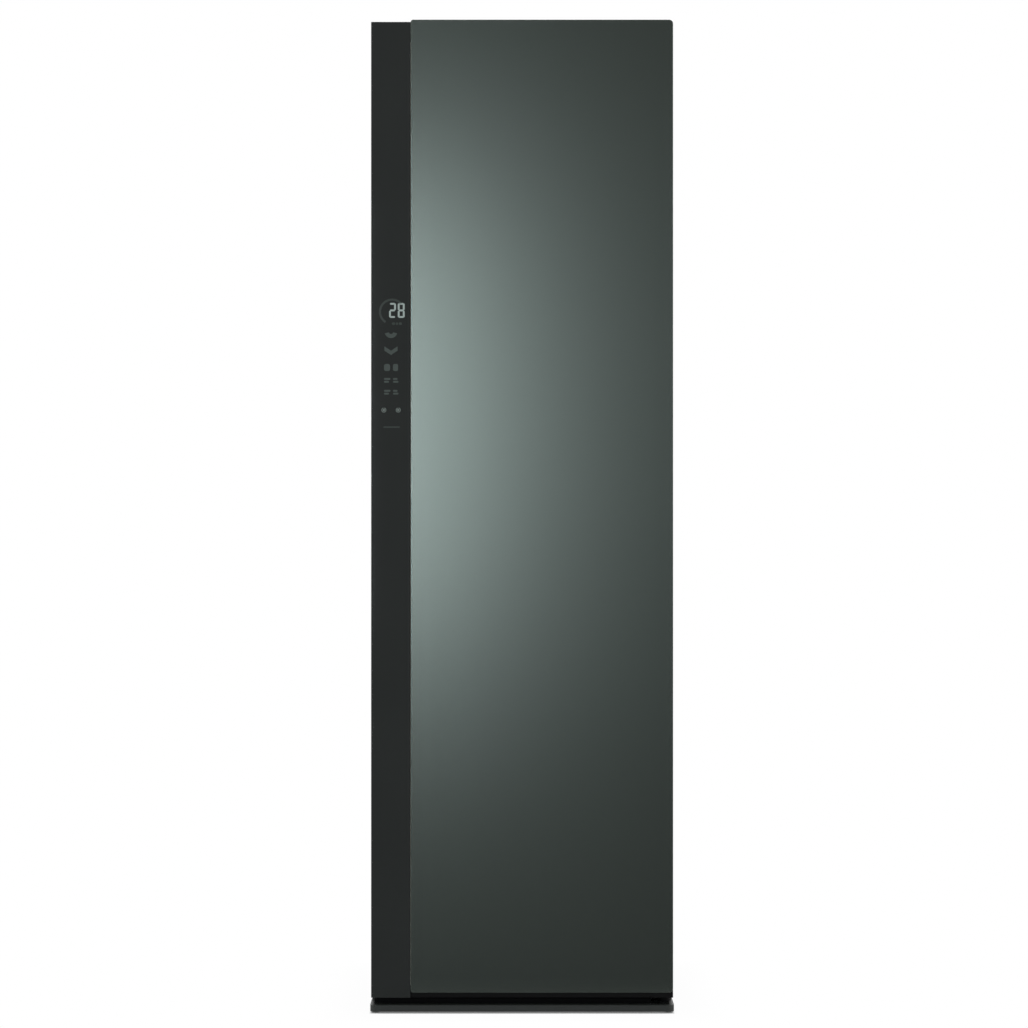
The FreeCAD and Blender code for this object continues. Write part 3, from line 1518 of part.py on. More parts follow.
make_feet()
make_base()
make_shell()
make_mains_inlet()
make_front_frame()
make_liners()
make_insulation()
make_tank_bay()
make_tank("supply", -1)
make_tank("drain", 1)
make_filter()
make_aroma_case()
make_rack()
make_lamp_and_nozzle()
make_hanger_bar()
make_shaker_frame()
make_pulleys()
make_belt()
make_ducts()
make_exchangers()
make_fan()
make_pipes(make_compressor())
make_steam()
make_control_box()
make_hinges()
make_door_frame()
make_door_glass()
make_door_liner()
make_gasket()
make_press()
print("parts written")
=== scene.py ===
import bpy
import bmesh
import json
import math
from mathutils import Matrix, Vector


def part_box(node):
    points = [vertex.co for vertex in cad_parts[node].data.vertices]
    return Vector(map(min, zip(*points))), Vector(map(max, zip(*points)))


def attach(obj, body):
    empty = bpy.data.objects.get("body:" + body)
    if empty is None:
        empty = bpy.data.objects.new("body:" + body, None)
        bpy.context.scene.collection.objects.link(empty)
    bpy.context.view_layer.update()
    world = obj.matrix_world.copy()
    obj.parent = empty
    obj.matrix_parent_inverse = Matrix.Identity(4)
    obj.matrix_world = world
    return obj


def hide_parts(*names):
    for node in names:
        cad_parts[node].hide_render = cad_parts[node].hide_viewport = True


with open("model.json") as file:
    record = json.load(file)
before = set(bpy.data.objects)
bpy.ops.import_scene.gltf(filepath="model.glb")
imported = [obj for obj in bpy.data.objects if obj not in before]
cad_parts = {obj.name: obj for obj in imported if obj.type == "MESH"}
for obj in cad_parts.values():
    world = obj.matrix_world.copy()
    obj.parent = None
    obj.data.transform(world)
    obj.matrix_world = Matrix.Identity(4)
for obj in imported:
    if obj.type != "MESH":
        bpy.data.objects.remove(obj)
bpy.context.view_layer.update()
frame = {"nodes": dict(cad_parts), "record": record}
nodes = frame["nodes"]
print("frame loaded:", len(nodes), "solids")


class Wire:
    # one output of a material node; a sum on it adds Math nodes
    def __init__(self, finish, socket):
        self.finish = finish
        self.socket = socket

    def __add__(self, other):
        return self.finish.maths("ADD", self, other)

    def __radd__(self, other):
        return self.finish.maths("ADD", other, self)

    def __sub__(self, other):
        return self.finish.maths("SUBTRACT", self, other)

    def __rsub__(self, other):
        return self.finish.maths("SUBTRACT", other, self)

    def __mul__(self, other):
        return self.finish.maths("MULTIPLY", self, other)

    def __rmul__(self, other):
        return self.finish.maths("MULTIPLY", other, self)

    def __gt__(self, other):
        return self.finish.maths("GREATER_THAN", self, other)

    def __lt__(self, other):
        return self.finish.maths("LESS_THAN", self, other)


class Finish:
    # a material under construction, or the world round the cabinet
    def __init__(self, name, world=None):
        self.material = world or bpy.data.materials.new(name)
        self.material.use_nodes = True
        self.tree = self.material.node_tree
        self.shader = self.tree.nodes.get("Principled BSDF")

    def plug(self, socket, value):
        if isinstance(value, Wire):
            self.tree.links.new(value.socket, socket)
        elif isinstance(value, tuple) and len(value) == 3 and socket.type == "RGBA":
            socket.default_value = (*value, 1)
        else:
            socket.default_value = value

    def add(self, kind, settings=None, sockets=None, output=0):
        node = self.tree.nodes.new(kind)
        for key, value in (settings or {}).items():
            setattr(node, key, value)
        for key, value in (sockets or {}).items():
            self.plug(node.inputs[key], value)
        return Wire(self, node.outputs[output])

    def maths(self, operation, *values):
        return self.add("ShaderNodeMath", {"operation": operation}, dict(enumerate(values)))

    def ramp(self, value, start, end, first, last):
        # goes smoothly from the first level to the last, between two places
        sockets = dict(enumerate((value, start, end, first, last)))
        return self.add("ShaderNodeMapRange", {"interpolation_type": "SMOOTHSTEP"}, sockets)

    def place(self, stretch=(1, 1, 1)):
        here = self.add("ShaderNodeTexCoord", output="Object")
        if stretch == (1, 1, 1):
            return here
        return self.add("ShaderNodeMapping", {}, {"Vector": here, "Scale": stretch})

    def noise(self, scale, detail=2.0, stretch=(1, 1, 1)):
        sockets = {"Vector": self.place(stretch), "Scale": scale, "Detail": detail}
        return self.add("ShaderNodeTexNoise", {}, sockets)

    def cells(self, scale, output="Distance"):
        return self.add("ShaderNodeTexVoronoi", {}, {"Vector": self.place(), "Scale": scale}, output)

    def blend(self, mask, low, high):
        return self.add("ShaderNodeMix", {"data_type": "RGBA"}, {0: mask, 6: low, 7: high}, output=2)

    def drift(self, colour, mask, amount):
        darker = tuple(c * (1 - amount) for c in colour)
        lighter = tuple(min(1, c * (1 + amount)) for c in colour)
        return self.blend(mask, darker, lighter)

    def bump(self, height, depth):
        return self.add("ShaderNodeBump", {}, {"Height": height, "Distance": depth})

    def set(self, **values):
        for key, value in values.items():
            self.plug(self.shader.inputs[key.replace("_", " ")], value)

    def surface(self):
        return Wire(self, self.shader.outputs[0])

    def mixed(self, mask, first, second):
        return self.add("ShaderNodeMixShader", {}, {0: mask, 1: first, 2: second})

    def show(self, shader):
        out = next(node for node in self.tree.nodes if node.type.startswith("OUTPUT"))
        self.plug(out.inputs["Surface"], shader)


def moulded(name, colour, rough, grain, depth, drift=0.06, patchy=0.10, shine=0.5):
    # fine-grained plastic, with a slow change of tone and gloss
    f = Finish(name)
    spark = f.noise(grain, 3.0)
    slow = f.noise(4.0)
    f.set(Base_Color=f.drift(colour, slow * 0.8 + spark * 0.2, drift))
    f.set(Roughness=rough + (slow - 0.5) * patchy + (spark - 0.5) * 0.06, Specular_IOR_Level=shine)
    f.set(Normal=f.bump(spark, depth))
    return f.material


def powderCoat(name, colour, rough):
    # orange peel of a baked coat
    f = Finish(name)
    peel = f.noise(420)
    grit = f.noise(2600)
    slow = f.noise(2.2)
    f.set(Base_Color=f.drift(colour, slow * 0.7 + grit * 0.3, 0.08))
    f.set(Roughness=rough + (slow - 0.5) * 0.08 + (peel - 0.5) * 0.05)
    f.set(Normal=f.bump(peel * 0.7 + grit * 0.3, 0.00012))
    return f.material


def platedSheet(name, colour, rough, spangle):
    # zinc flowers under fine rolling lines
    f = Finish(name)
    flower = f.cells(spangle, "Color")
    lines = f.noise(90, 3.0, (1, 1, 24))
    slow = f.noise(3.0)
    grey = f.add("ShaderNodeSeparateColor", {}, {0: flower})
    f.set(Base_Color=f.drift(colour, grey * 0.7 + slow * 0.3, 0.10), Metallic=1.0)
    f.set(Roughness=rough + (grey - 0.5) * 0.07 + (lines - 0.5) * 0.10)
    f.set(Normal=f.bump(lines * 0.5 + slow * 0.5, 0.00006))
    return f.material


def brightWire(name, colour, rough):
    f = Finish(name)
    ripple = f.noise(60)
    dust = f.noise(700, 3.0)
    f.set(Base_Color=f.drift(colour, ripple, 0.05), Metallic=1.0)
    f.set(Roughness=rough + (dust - 0.4) * 0.10, Normal=f.bump(ripple, 0.00008))
    return f.material


def castMetal(name, colour, rough, grain):
    f = Finish(name)
    skin = f.noise(grain, 4.0)
    pits = f.cells(grain * 0.6)
    f.set(Base_Color=f.drift(colour, skin, 0.12), Metallic=1.0)
    f.set(Roughness=rough + (skin - 0.5) * 0.2, Normal=f.bump(skin * 0.6 + pits * 0.4, 0.0002))
    return f.material


def enamel(name, colour, rough):
    f = Finish(name)
    peel = f.noise(160)
    slow = f.noise(5.0)
    f.set(Base_Color=f.drift(colour, slow, 0.1), Coat_Weight=0.6, Coat_Roughness=0.08)
    f.set(Roughness=rough + (slow - 0.5) * 0.1, Normal=f.bump(peel, 0.0002))
    return f.material


def softRubber(name, colour, rough):
    f = Finish(name)
    skin = f.noise(1500, 3.0)
    bloom = f.noise(14, 3.0)
    f.set(Base_Color=f.drift(colour, bloom, 0.16), Specular_IOR_Level=0.35)
    f.set(Roughness=rough + (bloom - 0.5) * 0.14, Normal=f.bump(skin, 0.0001))
    return f.material


def insulation(name, colour):
    # closed foam cells under a thin skin
    f = Finish(name)
    cell = f.cells(260)
    slow = f.noise(9.0, 4.0)
    f.set(Base_Color=f.drift(colour, slow * 0.5 + cell * 0.5, 0.14), Roughness=0.86 + (slow - 0.5) * 0.1)
    f.set(Normal=f.bump(cell, 0.0009))
    return f.material


def smokyTank(name, colour):
    # see-through moulding with slow flow lines
    f = Finish(name)
    flow = f.noise(7.0, stretch=(1, 1, 3))
    skin = f.noise(900)
    f.set(Base_Color=f.drift(colour, flow, 0.08), Transmission_Weight=0.72, IOR=1.49)
    f.set(Roughness=0.14 + (flow - 0.5) * 0.08, Normal=f.bump(skin * 0.4 + flow * 0.6, 0.00008))
    return f.material


def opalLens(name, colour, glow):
    f = Finish(name)
    frost = f.noise(1200)
    flow = f.noise(12.0, stretch=(4, 1, 1))
    f.set(Base_Color=f.drift(colour, flow, 0.03), Emission_Color=f.drift(colour, flow, 0.05))
    f.set(Emission_Strength=glow, Roughness=0.32 + (frost - 0.5) * 0.1, Normal=f.bump(frost, 0.00005))
    return f.material


def satinGlass(name, colour, rough, metal):
    # etched front over a back coat with very fine mica
    f = Finish(name)
    mica = f.cells(5200, "Color")
    fleck = f.add("ShaderNodeSeparateColor", {}, {0: mica})
    etch = f.noise(1900, 3.0)
    slow = f.noise(1.6)
    f.set(Base_Color=f.drift(colour, fleck * 0.45 + slow * 0.55, 0.05), Metallic=metal)
    f.set(Roughness=rough + (slow - 0.5) * 0.012 + (etch - 0.5) * 0.01)
    f.set(Normal=f.bump(etch, 0.0000008))
    return f.material


def blackGlass(name, colour, rough):
    f = Finish(name)
    wave = f.noise(7.0, 1.0)
    dust = f.noise(900, 4.0)
    f.set(Base_Color=f.drift(colour, wave, 0.06), Normal=f.bump(wave, 0.000001))
    f.set(Roughness=rough + (dust > 0.62) * 0.006 + (wave - 0.5) * 0.006)
    return f.material


def litMark(name, colour, strength):
    # a lit or printed mark behind the strip's polish
    f = Finish(name)
    soft = f.noise(500)
    f.set(Base_Color=f.drift(colour, soft, 0.1), Emission_Color=f.drift(colour, soft, 0.12))
    f.set(Emission_Strength=strength, Roughness=0.02 + (soft - 0.5) * 0.01)
    return f.material


def meshCloth(name, colour):
    # woven filter gauze
    f = Finish(name)
    here = f.place()
    across = f.add("ShaderNodeSeparateXYZ", {}, {0: here})
    up = f.add("ShaderNodeSeparateXYZ", {}, {0: here}, output=2)
    thread = f.maths("MAXIMUM", f.maths("SINE", across * 5200), f.maths("SINE", up * 5200))
    f.set(Base_Color=f.drift(colour, thread * 0.5 + 0.5, 0.3), Roughness=0.7 + thread * 0.1)
    f.set(Normal=f.bump(thread, 0.0002))
    return f.material


tones = {
    "cabinet_paint": powderCoat("cabinetPaint", (0.036, 0.039, 0.037), 0.42),
    "zinc_steel": platedSheet("zincSteel", (0.42, 0.43, 0.44), 0.40, 130),
    "base_plastic": moulded("basePlastic", (0.0130, 0.0155, 0.0135), 0.46, 1300, 0.00010, shine=0.42),
    "frame_plastic": moulded("framePlastic", (0.42, 0.43, 0.43), 0.48, 1200, 0.00010),
    "liner_plastic": moulded(
        "linerPlastic", (0.58, 0.595, 0.595), 0.28, 700, 0.00002, drift=0.012, patchy=0.03
    ),
    "foam": insulation("foam", (0.80, 0.76, 0.66)),
    "tank_plastic": smokyTank("tankPlastic", (0.30, 0.34, 0.35)),
    "lid_plastic": moulded("lidPlastic", (0.30, 0.31, 0.32), 0.42, 1200, 0.00010),
    "handle_plastic": moulded("handlePlastic", (0.16, 0.165, 0.17), 0.44, 1400, 0.00012),
    "plated_wire": brightWire("platedWire", (0.74, 0.75, 0.77), 0.14),
    "lamp_lens": opalLens("lampLens", (0.90, 0.91, 0.88), 0.5),
    "bar_plastic": moulded("barPlastic", (0.46, 0.47, 0.48), 0.24, 800, 0.00003, drift=0.03),
    "motor_steel": powderCoat("motorSteel", (0.20, 0.21, 0.22), 0.5),
    "pulley_plastic": moulded("pulleyPlastic", (0.05, 0.05, 0.054), 0.5, 1000, 0.0001),
    "belt_rubber": softRubber("beltRubber", (0.028, 0.028, 0.028), 0.7),
    "duct_plastic": moulded("ductPlastic", (0.26, 0.27, 0.27), 0.5, 900, 0.00015),
    "fin_aluminium": castMetal("finAluminium", (0.70, 0.71, 0.72), 0.34, 300),
    "compressor_paint": enamel("compressorPaint", (0.016, 0.016, 0.017), 0.2),
    "copper": brightWire("copperTube", (0.72, 0.40, 0.27), 0.3),
    "boiler_aluminium": castMetal("boilerAluminium", (0.56, 0.57, 0.58), 0.5, 420),
    "hose_rubber": softRubber("hoseRubber", (0.05, 0.05, 0.052), 0.6),
    "pump_plastic": moulded("pumpPlastic", (0.12, 0.13, 0.14), 0.48, 1000, 0.0001),
    "inlet_plastic": moulded("inletPlastic", (0.025, 0.025, 0.025), 0.42, 1200, 0.00008),
    "bush_plastic": moulded("bushPlastic", (0.70, 0.70, 0.64), 0.4, 900, 0.00005),
    "foot_steel": platedSheet("footSteel", (0.42, 0.43, 0.44), 0.4, 260),
    "door_frame_paint": moulded(
        "doorFramePaint", (0.0022, 0.0023, 0.0023), 0.56, 1500, 0.00006, drift=0.10, shine=0.10
    ),
    "panel_glass": satinGlass("panelGlass", (0.1035, 0.1195, 0.1045), 0.259, 0.82),
    "strip_glass": blackGlass("stripGlass", (0.024, 0.026, 0.025), 0.012),
    "display": moulded("displayCarrier", (0.02, 0.02, 0.02), 0.5, 1200, 0.00008),
    "gasket_rubber": softRubber("gasketRubber", (0.24, 0.245, 0.25), 0.55),
    "press_plastic": moulded("pressPlastic", (0.40, 0.41, 0.42), 0.40, 1100, 0.00010),
}
for part in frame["record"]["subparts"]:
    solid = nodes[part["node"]]
    solid.data.materials.clear()
    solid.data.materials.append(tones[part["material_slot"]])
slotOf = {part["node"]: part["material_slot"] for part in frame["record"]["subparts"]}
bodyOf = {node: body for body, group in frame["record"]["behaviour"]["bodies"].items() for node in group}
print("finishes made:", len(tones))

bite = 0.0002  # how far an added piece reaches into the one that carries it
mergeWithin = 0.000004  # points nearer to each other than this become one


def onlyThis(piece):
    bpy.ops.object.select_all(action="DESELECT")
    piece.select_set(True)
    bpy.context.view_layer.objects.active = piece


def middle(part):
    if isinstance(part, bmesh.types.BMFace):
        return part.calc_center_median()
    if isinstance(part, bmesh.types.BMEdge):
        return (part.verts[0].co + part.verts[1].co) / 2
    return part.co


def pick(piece, kind, test):
    # edit mode, with what passes the test selected
    onlyThis(piece)
    bpy.ops.object.mode_set(mode="EDIT")
    bpy.ops.mesh.select_mode(type=kind)
    bpy.ops.mesh.select_all(action="DESELECT")
    shape = bmesh.from_edit_mesh(piece.data)
    for part in {"VERT": shape.verts, "EDGE": shape.edges, "FACE": shape.faces}[kind]:
        if test(part):
            part.select_set(True)
    bmesh.update_edit_mesh(piece.data)


def done():
    bpy.ops.object.mode_set(mode="OBJECT")


def runs(edge, axis):
    way = (edge.verts[1].co - edge.verts[0].co).normalized()
    return abs(way[axis]) > 0.999


def plank(name, centre, size, turn=(0, 0, 0)):
    # a cube stretched to a size, and turned
    bpy.ops.object.select_all(action="DESELECT")
    bpy.ops.mesh.primitive_cube_add(size=1, location=centre, rotation=turn)
    piece = bpy.context.object
    piece.name = name
    piece.scale = size
    bpy.ops.object.transform_apply(location=True, rotation=True, scale=True)
    return piece


def block(name, low, high):
    low, high = Vector(low), Vector(high)
    return plank(name, (low + high) / 2, high - low)


def rod(name, radius, start, end, sides):
    start, end = Vector(start), Vector(end)
    way = end - start
    bpy.ops.object.select_all(action="DESELECT")
    bpy.ops.mesh.primitive_cylinder_add(
        vertices=sides, radius=radius, depth=way.length, location=(start + end) / 2,
        rotation=way.to_track_quat("Z", "Y").to_euler(),
    )
    piece = bpy.context.object
    piece.name = name
    bpy.ops.object.transform_apply(location=True, rotation=True, scale=True)
    return piece


def softEdges(piece, width, steps=2, angle=40):
    onlyThis(piece)
    tool = piece.modifiers.new("edges", "BEVEL")
    tool.width = width
    tool.segments = steps
    tool.limit_method = "ANGLE"
    tool.angle_limit = math.radians(angle)
    tool.use_clamp_overlap = True
    bpy.ops.object.modifier_apply(modifier="edges")


def roundCorners(piece, axis, radius, steps):
    # bevels the edges that run along an axis
    pick(piece, "EDGE", lambda e: runs(e, axis))
    bpy.ops.mesh.bevel(offset=radius, segments=steps, affect="EDGES")
    done()


def ring(name, low, high, corner, cornerSteps, border):
    # a flat frame with round corners, its window cut right through from front to back
    piece = block(name, low, high)
    roundCorners(piece, 1, corner, cornerSteps)
    pick(piece, "FACE", lambda f: abs(f.normal.y) > 0.9)
    bpy.ops.mesh.inset(thickness=border, use_individual=True)
    bpy.ops.mesh.bridge_edge_loops()
    done()
    return piece


def screwHead(name, centre, out, radius=0.0042, rise=0.0018, sides=24):
    # pan head with a socket
    centre, out = Vector(centre), Vector(out)
    piece = rod(name, radius, centre - out * bite, centre + out * rise, sides)
    top = lambda part: (middle(part) - centre).dot(out) > rise - 0.0001
    pick(piece, "EDGE", lambda e: top(e) and (e.verts[0].co - e.verts[1].co).length < radius)
    bpy.ops.mesh.bevel(offset=rise * 0.6, segments=3, affect="EDGES")
    done()
    pick(piece, "FACE", lambda f: top(f) and f.normal.dot(out) > 0.99)
    bpy.ops.mesh.inset(thickness=radius * 0.22)
    bpy.ops.mesh.extrude_region_move(TRANSFORM_OT_translate={"value": tuple(-out * rise * 0.55)})
    done()
    return piece


def padded(name, low, high, corner, rim, out):
    # a low raised form: round corners in its plane, and a soft rim on its outer side
    piece = block(name, low, high)
    axis = max(range(3), key=lambda i: abs(out[i]))
    roundCorners(piece, axis, corner, 6)
    face = high[axis] if out[axis] > 0 else low[axis]
    pick(piece, "EDGE", lambda e: abs(middle(e)[axis] - face) < 0.00001)
    bpy.ops.mesh.bevel(offset=rim, segments=3, affect="EDGES")
    done()
    return piece


def another(piece, name, shift):
    # a copy with its own mesh, moved
    onlyThis(piece)
    bpy.ops.object.duplicate(linked=False)
    bpy.ops.transform.translate(value=shift)
    bpy.ops.object.transform_apply(location=True, rotation=True, scale=True)
    twin = bpy.context.object
    twin.name = name
    return twin


def row(piece, count, step):
    # the piece and its copies, one step apart
    return [piece] + [another(piece, piece.name, [part * i for part in step]) for i in range(1, count)]


def joined(name, pieces):
    bpy.ops.object.select_all(action="DESELECT")
    for piece in pieces:
        piece.select_set(True)
    bpy.context.view_layer.objects.active = pieces[0]
    if len(pieces) > 1:
        bpy.ops.object.join()
    pieces[0].name = name
    return pieces[0]


def fit(piece, body, slot, replaced=(), tone=None, angle=35):
    # the last step of every piece: smooth shading, with its flat faces kept flat
    onlyThis(piece)
    bpy.ops.object.shade_smooth_by_angle(angle=math.radians(angle))
    flatten = piece.modifiers.new("flatten", "WEIGHTED_NORMAL")
    flatten.keep_sharp = True
    flatten.weight = 100
    bpy.ops.object.modifier_apply(modifier="flatten")
    piece.data.materials.clear()
    piece.data.materials.append(tone or tones[slot])
    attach(piece, body)
    if replaced:
        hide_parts(*replaced)
    return piece


def merge(piece):
    onlyThis(piece)
    bpy.ops.object.mode_set(mode="EDIT")
    bpy.ops.mesh.select_mode(type="EDGE")
    bpy.ops.mesh.select_all(action="SELECT")
    bpy.ops.mesh.remove_doubles(threshold=mergeWithin)


def apart(piece):
    # solids that only touch are cut from each other along the edges they share, and closed again
    bpy.ops.mesh.select_all(action="DESELECT")
    shape = bmesh.from_edit_mesh(piece.data)
    for edge in shape.edges:
        if len(edge.link_faces) > 2:
            edge.select_set(True)
    bmesh.update_edit_mesh(piece.data)
    bpy.ops.mesh.edge_split(type="EDGE")
    bpy.ops.mesh.select_all(action="SELECT")
    bpy.ops.mesh.separate(type="LOOSE")
    done()
    solids = []
    for part in list(bpy.context.selected_objects):
        if len(part.data.polygons) < 4:
            bpy.data.objects.remove(part)
            continue
        merge(part)
        bpy.ops.mesh.fill_holes(sides=0)
        done()
        solids.append(part)
    return solids


def eased(node, width, slot=None):
    # a moulded copy of a solid: its loose triangles merged and its edges rounded
    source = nodes[node]
    piece = bpy.data.objects.new(node + ".eased", source.data.copy())
    bpy.context.scene.collection.objects.link(piece)
    merge(piece)
    if any(len(edge.link_faces) > 2 for edge in bmesh.from_edit_mesh(piece.data).edges):
        parts = apart(piece)
    else:
        done()
        parts = [piece]
    for part in parts:
        onlyThis(part)
        bpy.ops.object.mode_set(mode="EDIT")
        bpy.ops.mesh.select_all(action="SELECT")
        bpy.ops.mesh.dissolve_limited(angle_limit=math.radians(0.5))
        done()
        if width:
            softEdges(part, width, angle=35)
    return fit(joined(node + ".eased", parts), bodyOf[node], slot or slotOf[node], (node,))


view = {"distance": 6.0, "height": 0.9845, "side": -0.016, "lens": 106.5, "sensor": 36}
bpy.ops.object.select_all(action="DESELECT")
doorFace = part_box("door_glass_panel")[0].y
bpy.ops.object.camera_add(
    location=(view["side"], doorFace - view["distance"], view["height"]), rotation=(math.pi / 2, 0, 0)
)
camera = bpy.context.object
camera.data.lens = view["lens"]
camera.data.sensor_width = view["sensor"]
scene = bpy.context.scene
scene.camera = camera
scene.view_settings.view_transform = "Standard"

# white wherever the background itself is seen, and a pale even light from all round
studio = {"ambient": 0.62, "tint": (0.97, 0.985, 1)}
scene.world = bpy.data.worlds.new("paleStudio")
sky = Finish("paleStudio", scene.world)
direct = sky.add("ShaderNodeLightPath", output="Is Camera Ray")
for kind in ("Is Glossy Ray", "Is Transmission Ray"):
    direct = sky.maths("MAXIMUM", direct, sky.add("ShaderNodeLightPath", output=kind))
soft = sky.add("ShaderNodeBackground", {}, {"Color": studio["tint"], "Strength": studio["ambient"]})
white = sky.add("ShaderNodeBackground", {}, {"Color": (1, 1, 1), "Strength": 1.0})
sky.show(sky.mixed(direct, soft, white))

# pale floor close round the cabinet, which keeps its shadow and fades out to white
paleFloor = {"reach": 0.43, "fade": 0.11, "shade": 0.035, "rounding": 0.1, "colour": (0.86, 0.86, 0.86)}
bpy.ops.mesh.primitive_grid_add(
    x_subdivisions=8, y_subdivisions=8, size=2 * paleFloor["reach"], location=(0, 0, 0)
)
floor = bpy.context.object
floor.name = "floorSheet"
floorFinish = Finish("paleFloor")
here = floorFinish.place()
farX = floorFinish.maths("ABSOLUTE", floorFinish.add("ShaderNodeSeparateXYZ", {}, {0: here}))
farY = floorFinish.maths("ABSOLUTE", floorFinish.add("ShaderNodeSeparateXYZ", {}, {0: here}, output=1))
spot = floorFinish.maths("SMOOTH_MAX", farX, farY, paleFloor["rounding"])
fadeStart = paleFloor["reach"] - paleFloor["fade"]
fade = floorFinish.ramp(spot, fadeStart, paleFloor["reach"], paleFloor["shade"], 0.0)
# narrow band under the base's edge, where the floor isn't whitened
contact = {"inner": 0.276, "full": 0.286, "edge": 0.2965, "outer": 0.3030, "shade": 0.88}
square = floorFinish.maths("MAXIMUM", farX, farY)
risen = floorFinish.ramp(square, contact["inner"], contact["full"], 0.0, contact["shade"])
fallen = floorFinish.ramp(square, contact["edge"], contact["outer"], 1.0, 0.0)
speck = floorFinish.noise(60)
floorFinish.set(Base_Color=floorFinish.drift(paleFloor["colour"], speck, 0.02), Roughness=0.8)
direct = floorFinish.add("ShaderNodeLightPath", output="Is Camera Ray")
white = floorFinish.add("ShaderNodeEmission", {}, {"Color": (1, 1, 1)})
upper = floorFinish.mixed(direct * (1 - fade) * (1 - risen * fallen), floorFinish.surface(), white)
# its underside isn't drawn, so the base can be looked at from below
below = floorFinish.add("ShaderNodeNewGeometry", output="Backfacing")
unseen = floorFinish.add("ShaderNodeBsdfTransparent")
floorFinish.show(floorFinish.mixed(below, upper, unseen))
floor.data.materials.append(floorFinish.material)

# dark card behind the camera, met only by reflections
card = {"width": 16.0, "low": -5.0, "high": 8.0, "behind": 3.0, "thick": 0.01}
cardY = doorFace - view["distance"] - card["behind"]
half = card["width"] / 2
flag = block("darkCard", (-half, cardY - card["thick"], card["low"]), (half, cardY, card["high"]))
flagFinish = Finish("blackCard")
flagFinish.set(Base_Color=(0.004, 0.004, 0.004), Roughness=1.0, Specular_IOR_Level=0.0)
clear = flagFinish.add("ShaderNodeBsdfTransparent")
mirrored = flagFinish.add("ShaderNodeLightPath", output="Is Glossy Ray")
flagFinish.show(flagFinish.mixed(mirrored, clear, flagFinish.surface()))
flag.data.materials.append(flagFinish.material)


def softLight(name, place, aim, size, power, colour=(1, 1, 1)):
    bpy.ops.object.select_all(action="DESELECT")
    bpy.ops.object.light_add(type="AREA", location=place)
    lamp = bpy.context.object
    lamp.name = name
    lamp.data.shape = "RECTANGLE"
    lamp.data.size, lamp.data.size_y = size
    lamp.data.energy = power
    lamp.data.color = colour
    lamp.rotation_euler = (Vector(aim) - Vector(place)).to_track_quat("-Z", "Y").to_euler()


# two narrow lamps that the door's glass mirrors softly, and three broad ones
narrow = {"x": -0.614, "y": doorFace - view["distance"], "width": 0.024, "colour": (0.917, 1.0, 1.08)}
lights = {
    "tallLamp": {"place": (narrow["x"], narrow["y"], 1.3975), "aim": (narrow["x"], 0, 1.3975),
                 "size": (narrow["width"], 1.644), "power": 35.5, "colour": narrow["colour"]},
    "lowLamp": {"place": (narrow["x"], narrow["y"], 0.295), "aim": (narrow["x"], 0, 0.295),
                "size": (narrow["width"], 0.55), "power": 1.6, "colour": narrow["colour"]},
    "keyLight": {"place": (-3.4, -3.6, 4.2), "aim": (0, 0, 1.0), "size": (2.4, 2.4), "power": 90},
    "fillLight": {"place": (3.6, -3.0, 2.6), "aim": (0, 0, 1.0), "size": (2.4, 2.4), "power": 45},
    "backLight": {"place": (0.5, 4.5, 3.6), "aim": (0, 0, 1.0), "size": (2.6, 2.6), "power": 70},
}
for name, light in lights.items():
    softLight(name, **light)
print("camera, floor and light placed")


# bevel width on each solid that shows
easing = {
    "side_panels": 0.0004, "top_panel": 0.0004, "back_panel": 0.0003, "base_frame": 0.0012,
    "kick_plate": 0.0005, "wall_spacers": 0.0003, "hinge_cover": 0.0009, "hinge_brackets": 0.0004,
    "front_frame": 0.0008, "liner_sides": 0.0007, "liner_back": 0.0005, "liner_ceiling": 0.0005,
    "liner_floor": 0.0005, "tank_bay": 0.0005, "supply_tank": 0.0007, "drain_tank": 0.0007,
    "supply_tank_lid": 0.0007, "drain_tank_lid": 0.0007, "supply_tank_handle": 0.0006,
    "drain_tank_handle": 0.0006, "lint_filter": 0.0005, "aroma_case": 0.0006, "steam_nozzle": 0.0006,
    "hanger_bar": 0.0007, "door_frame": 0.0009, "door_liner": 0.0016, "press_plate": 0.0009,
    "press_panel": 0.0010, "waist_clamp": 0.0008, "shelf_rack": 0, "rear_feet": 0, "mains_inlet": 0.0004,
    "hinge_screws": 0.0003, "hinge_bushes": 0.0004,
}
# painted shade: the hinge brackets, screws and bushes and the kick plate take the near-black door-frame
# finish in place of their own, so they stay as dark as the shade in the gap under the door
darkForGapShade = ("hinge_brackets", "hinge_screws", "hinge_bushes", "kick_plate")
for node, width in easing.items():
    eased(node, width, "door_frame_paint" if node in darkForGapShade else None)
print("solids eased:", len(easing))


# coloured glass panel
glassPanel = {"corner": 0.008, "stripCorner": 0.005, "cornerSteps": 10, "rim": 0.0010, "rimSteps": 3}
low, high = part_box("door_glass_panel")
panel = block("coloured_glass", low, high)
pick(panel, "EDGE", lambda e: runs(e, 1) and middle(e).x > high.x - 0.001)
bpy.ops.mesh.bevel(offset=glassPanel["corner"], segments=glassPanel["cornerSteps"], affect="EDGES")
done()
pick(panel, "EDGE", lambda e: runs(e, 1) and middle(e).x < low.x + 0.001)
bpy.ops.mesh.bevel(offset=glassPanel["stripCorner"], segments=glassPanel["cornerSteps"], affect="EDGES")
done()
softEdges(panel, glassPanel["rim"], glassPanel["rimSteps"], angle=50)
fit(panel, "door", "panel_glass", ("door_glass_panel",))

# black control strip
stripGlass = {"rim": 0.0004, "rimSteps": 2}
low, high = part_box("control_glass")
strip = block("control_strip", low, high)
softEdges(strip, stripGlass["rim"], stripGlass["rimSteps"], angle=50)
fit(strip, "door", "strip_glass", ("control_glass",))
stripFace = low.y

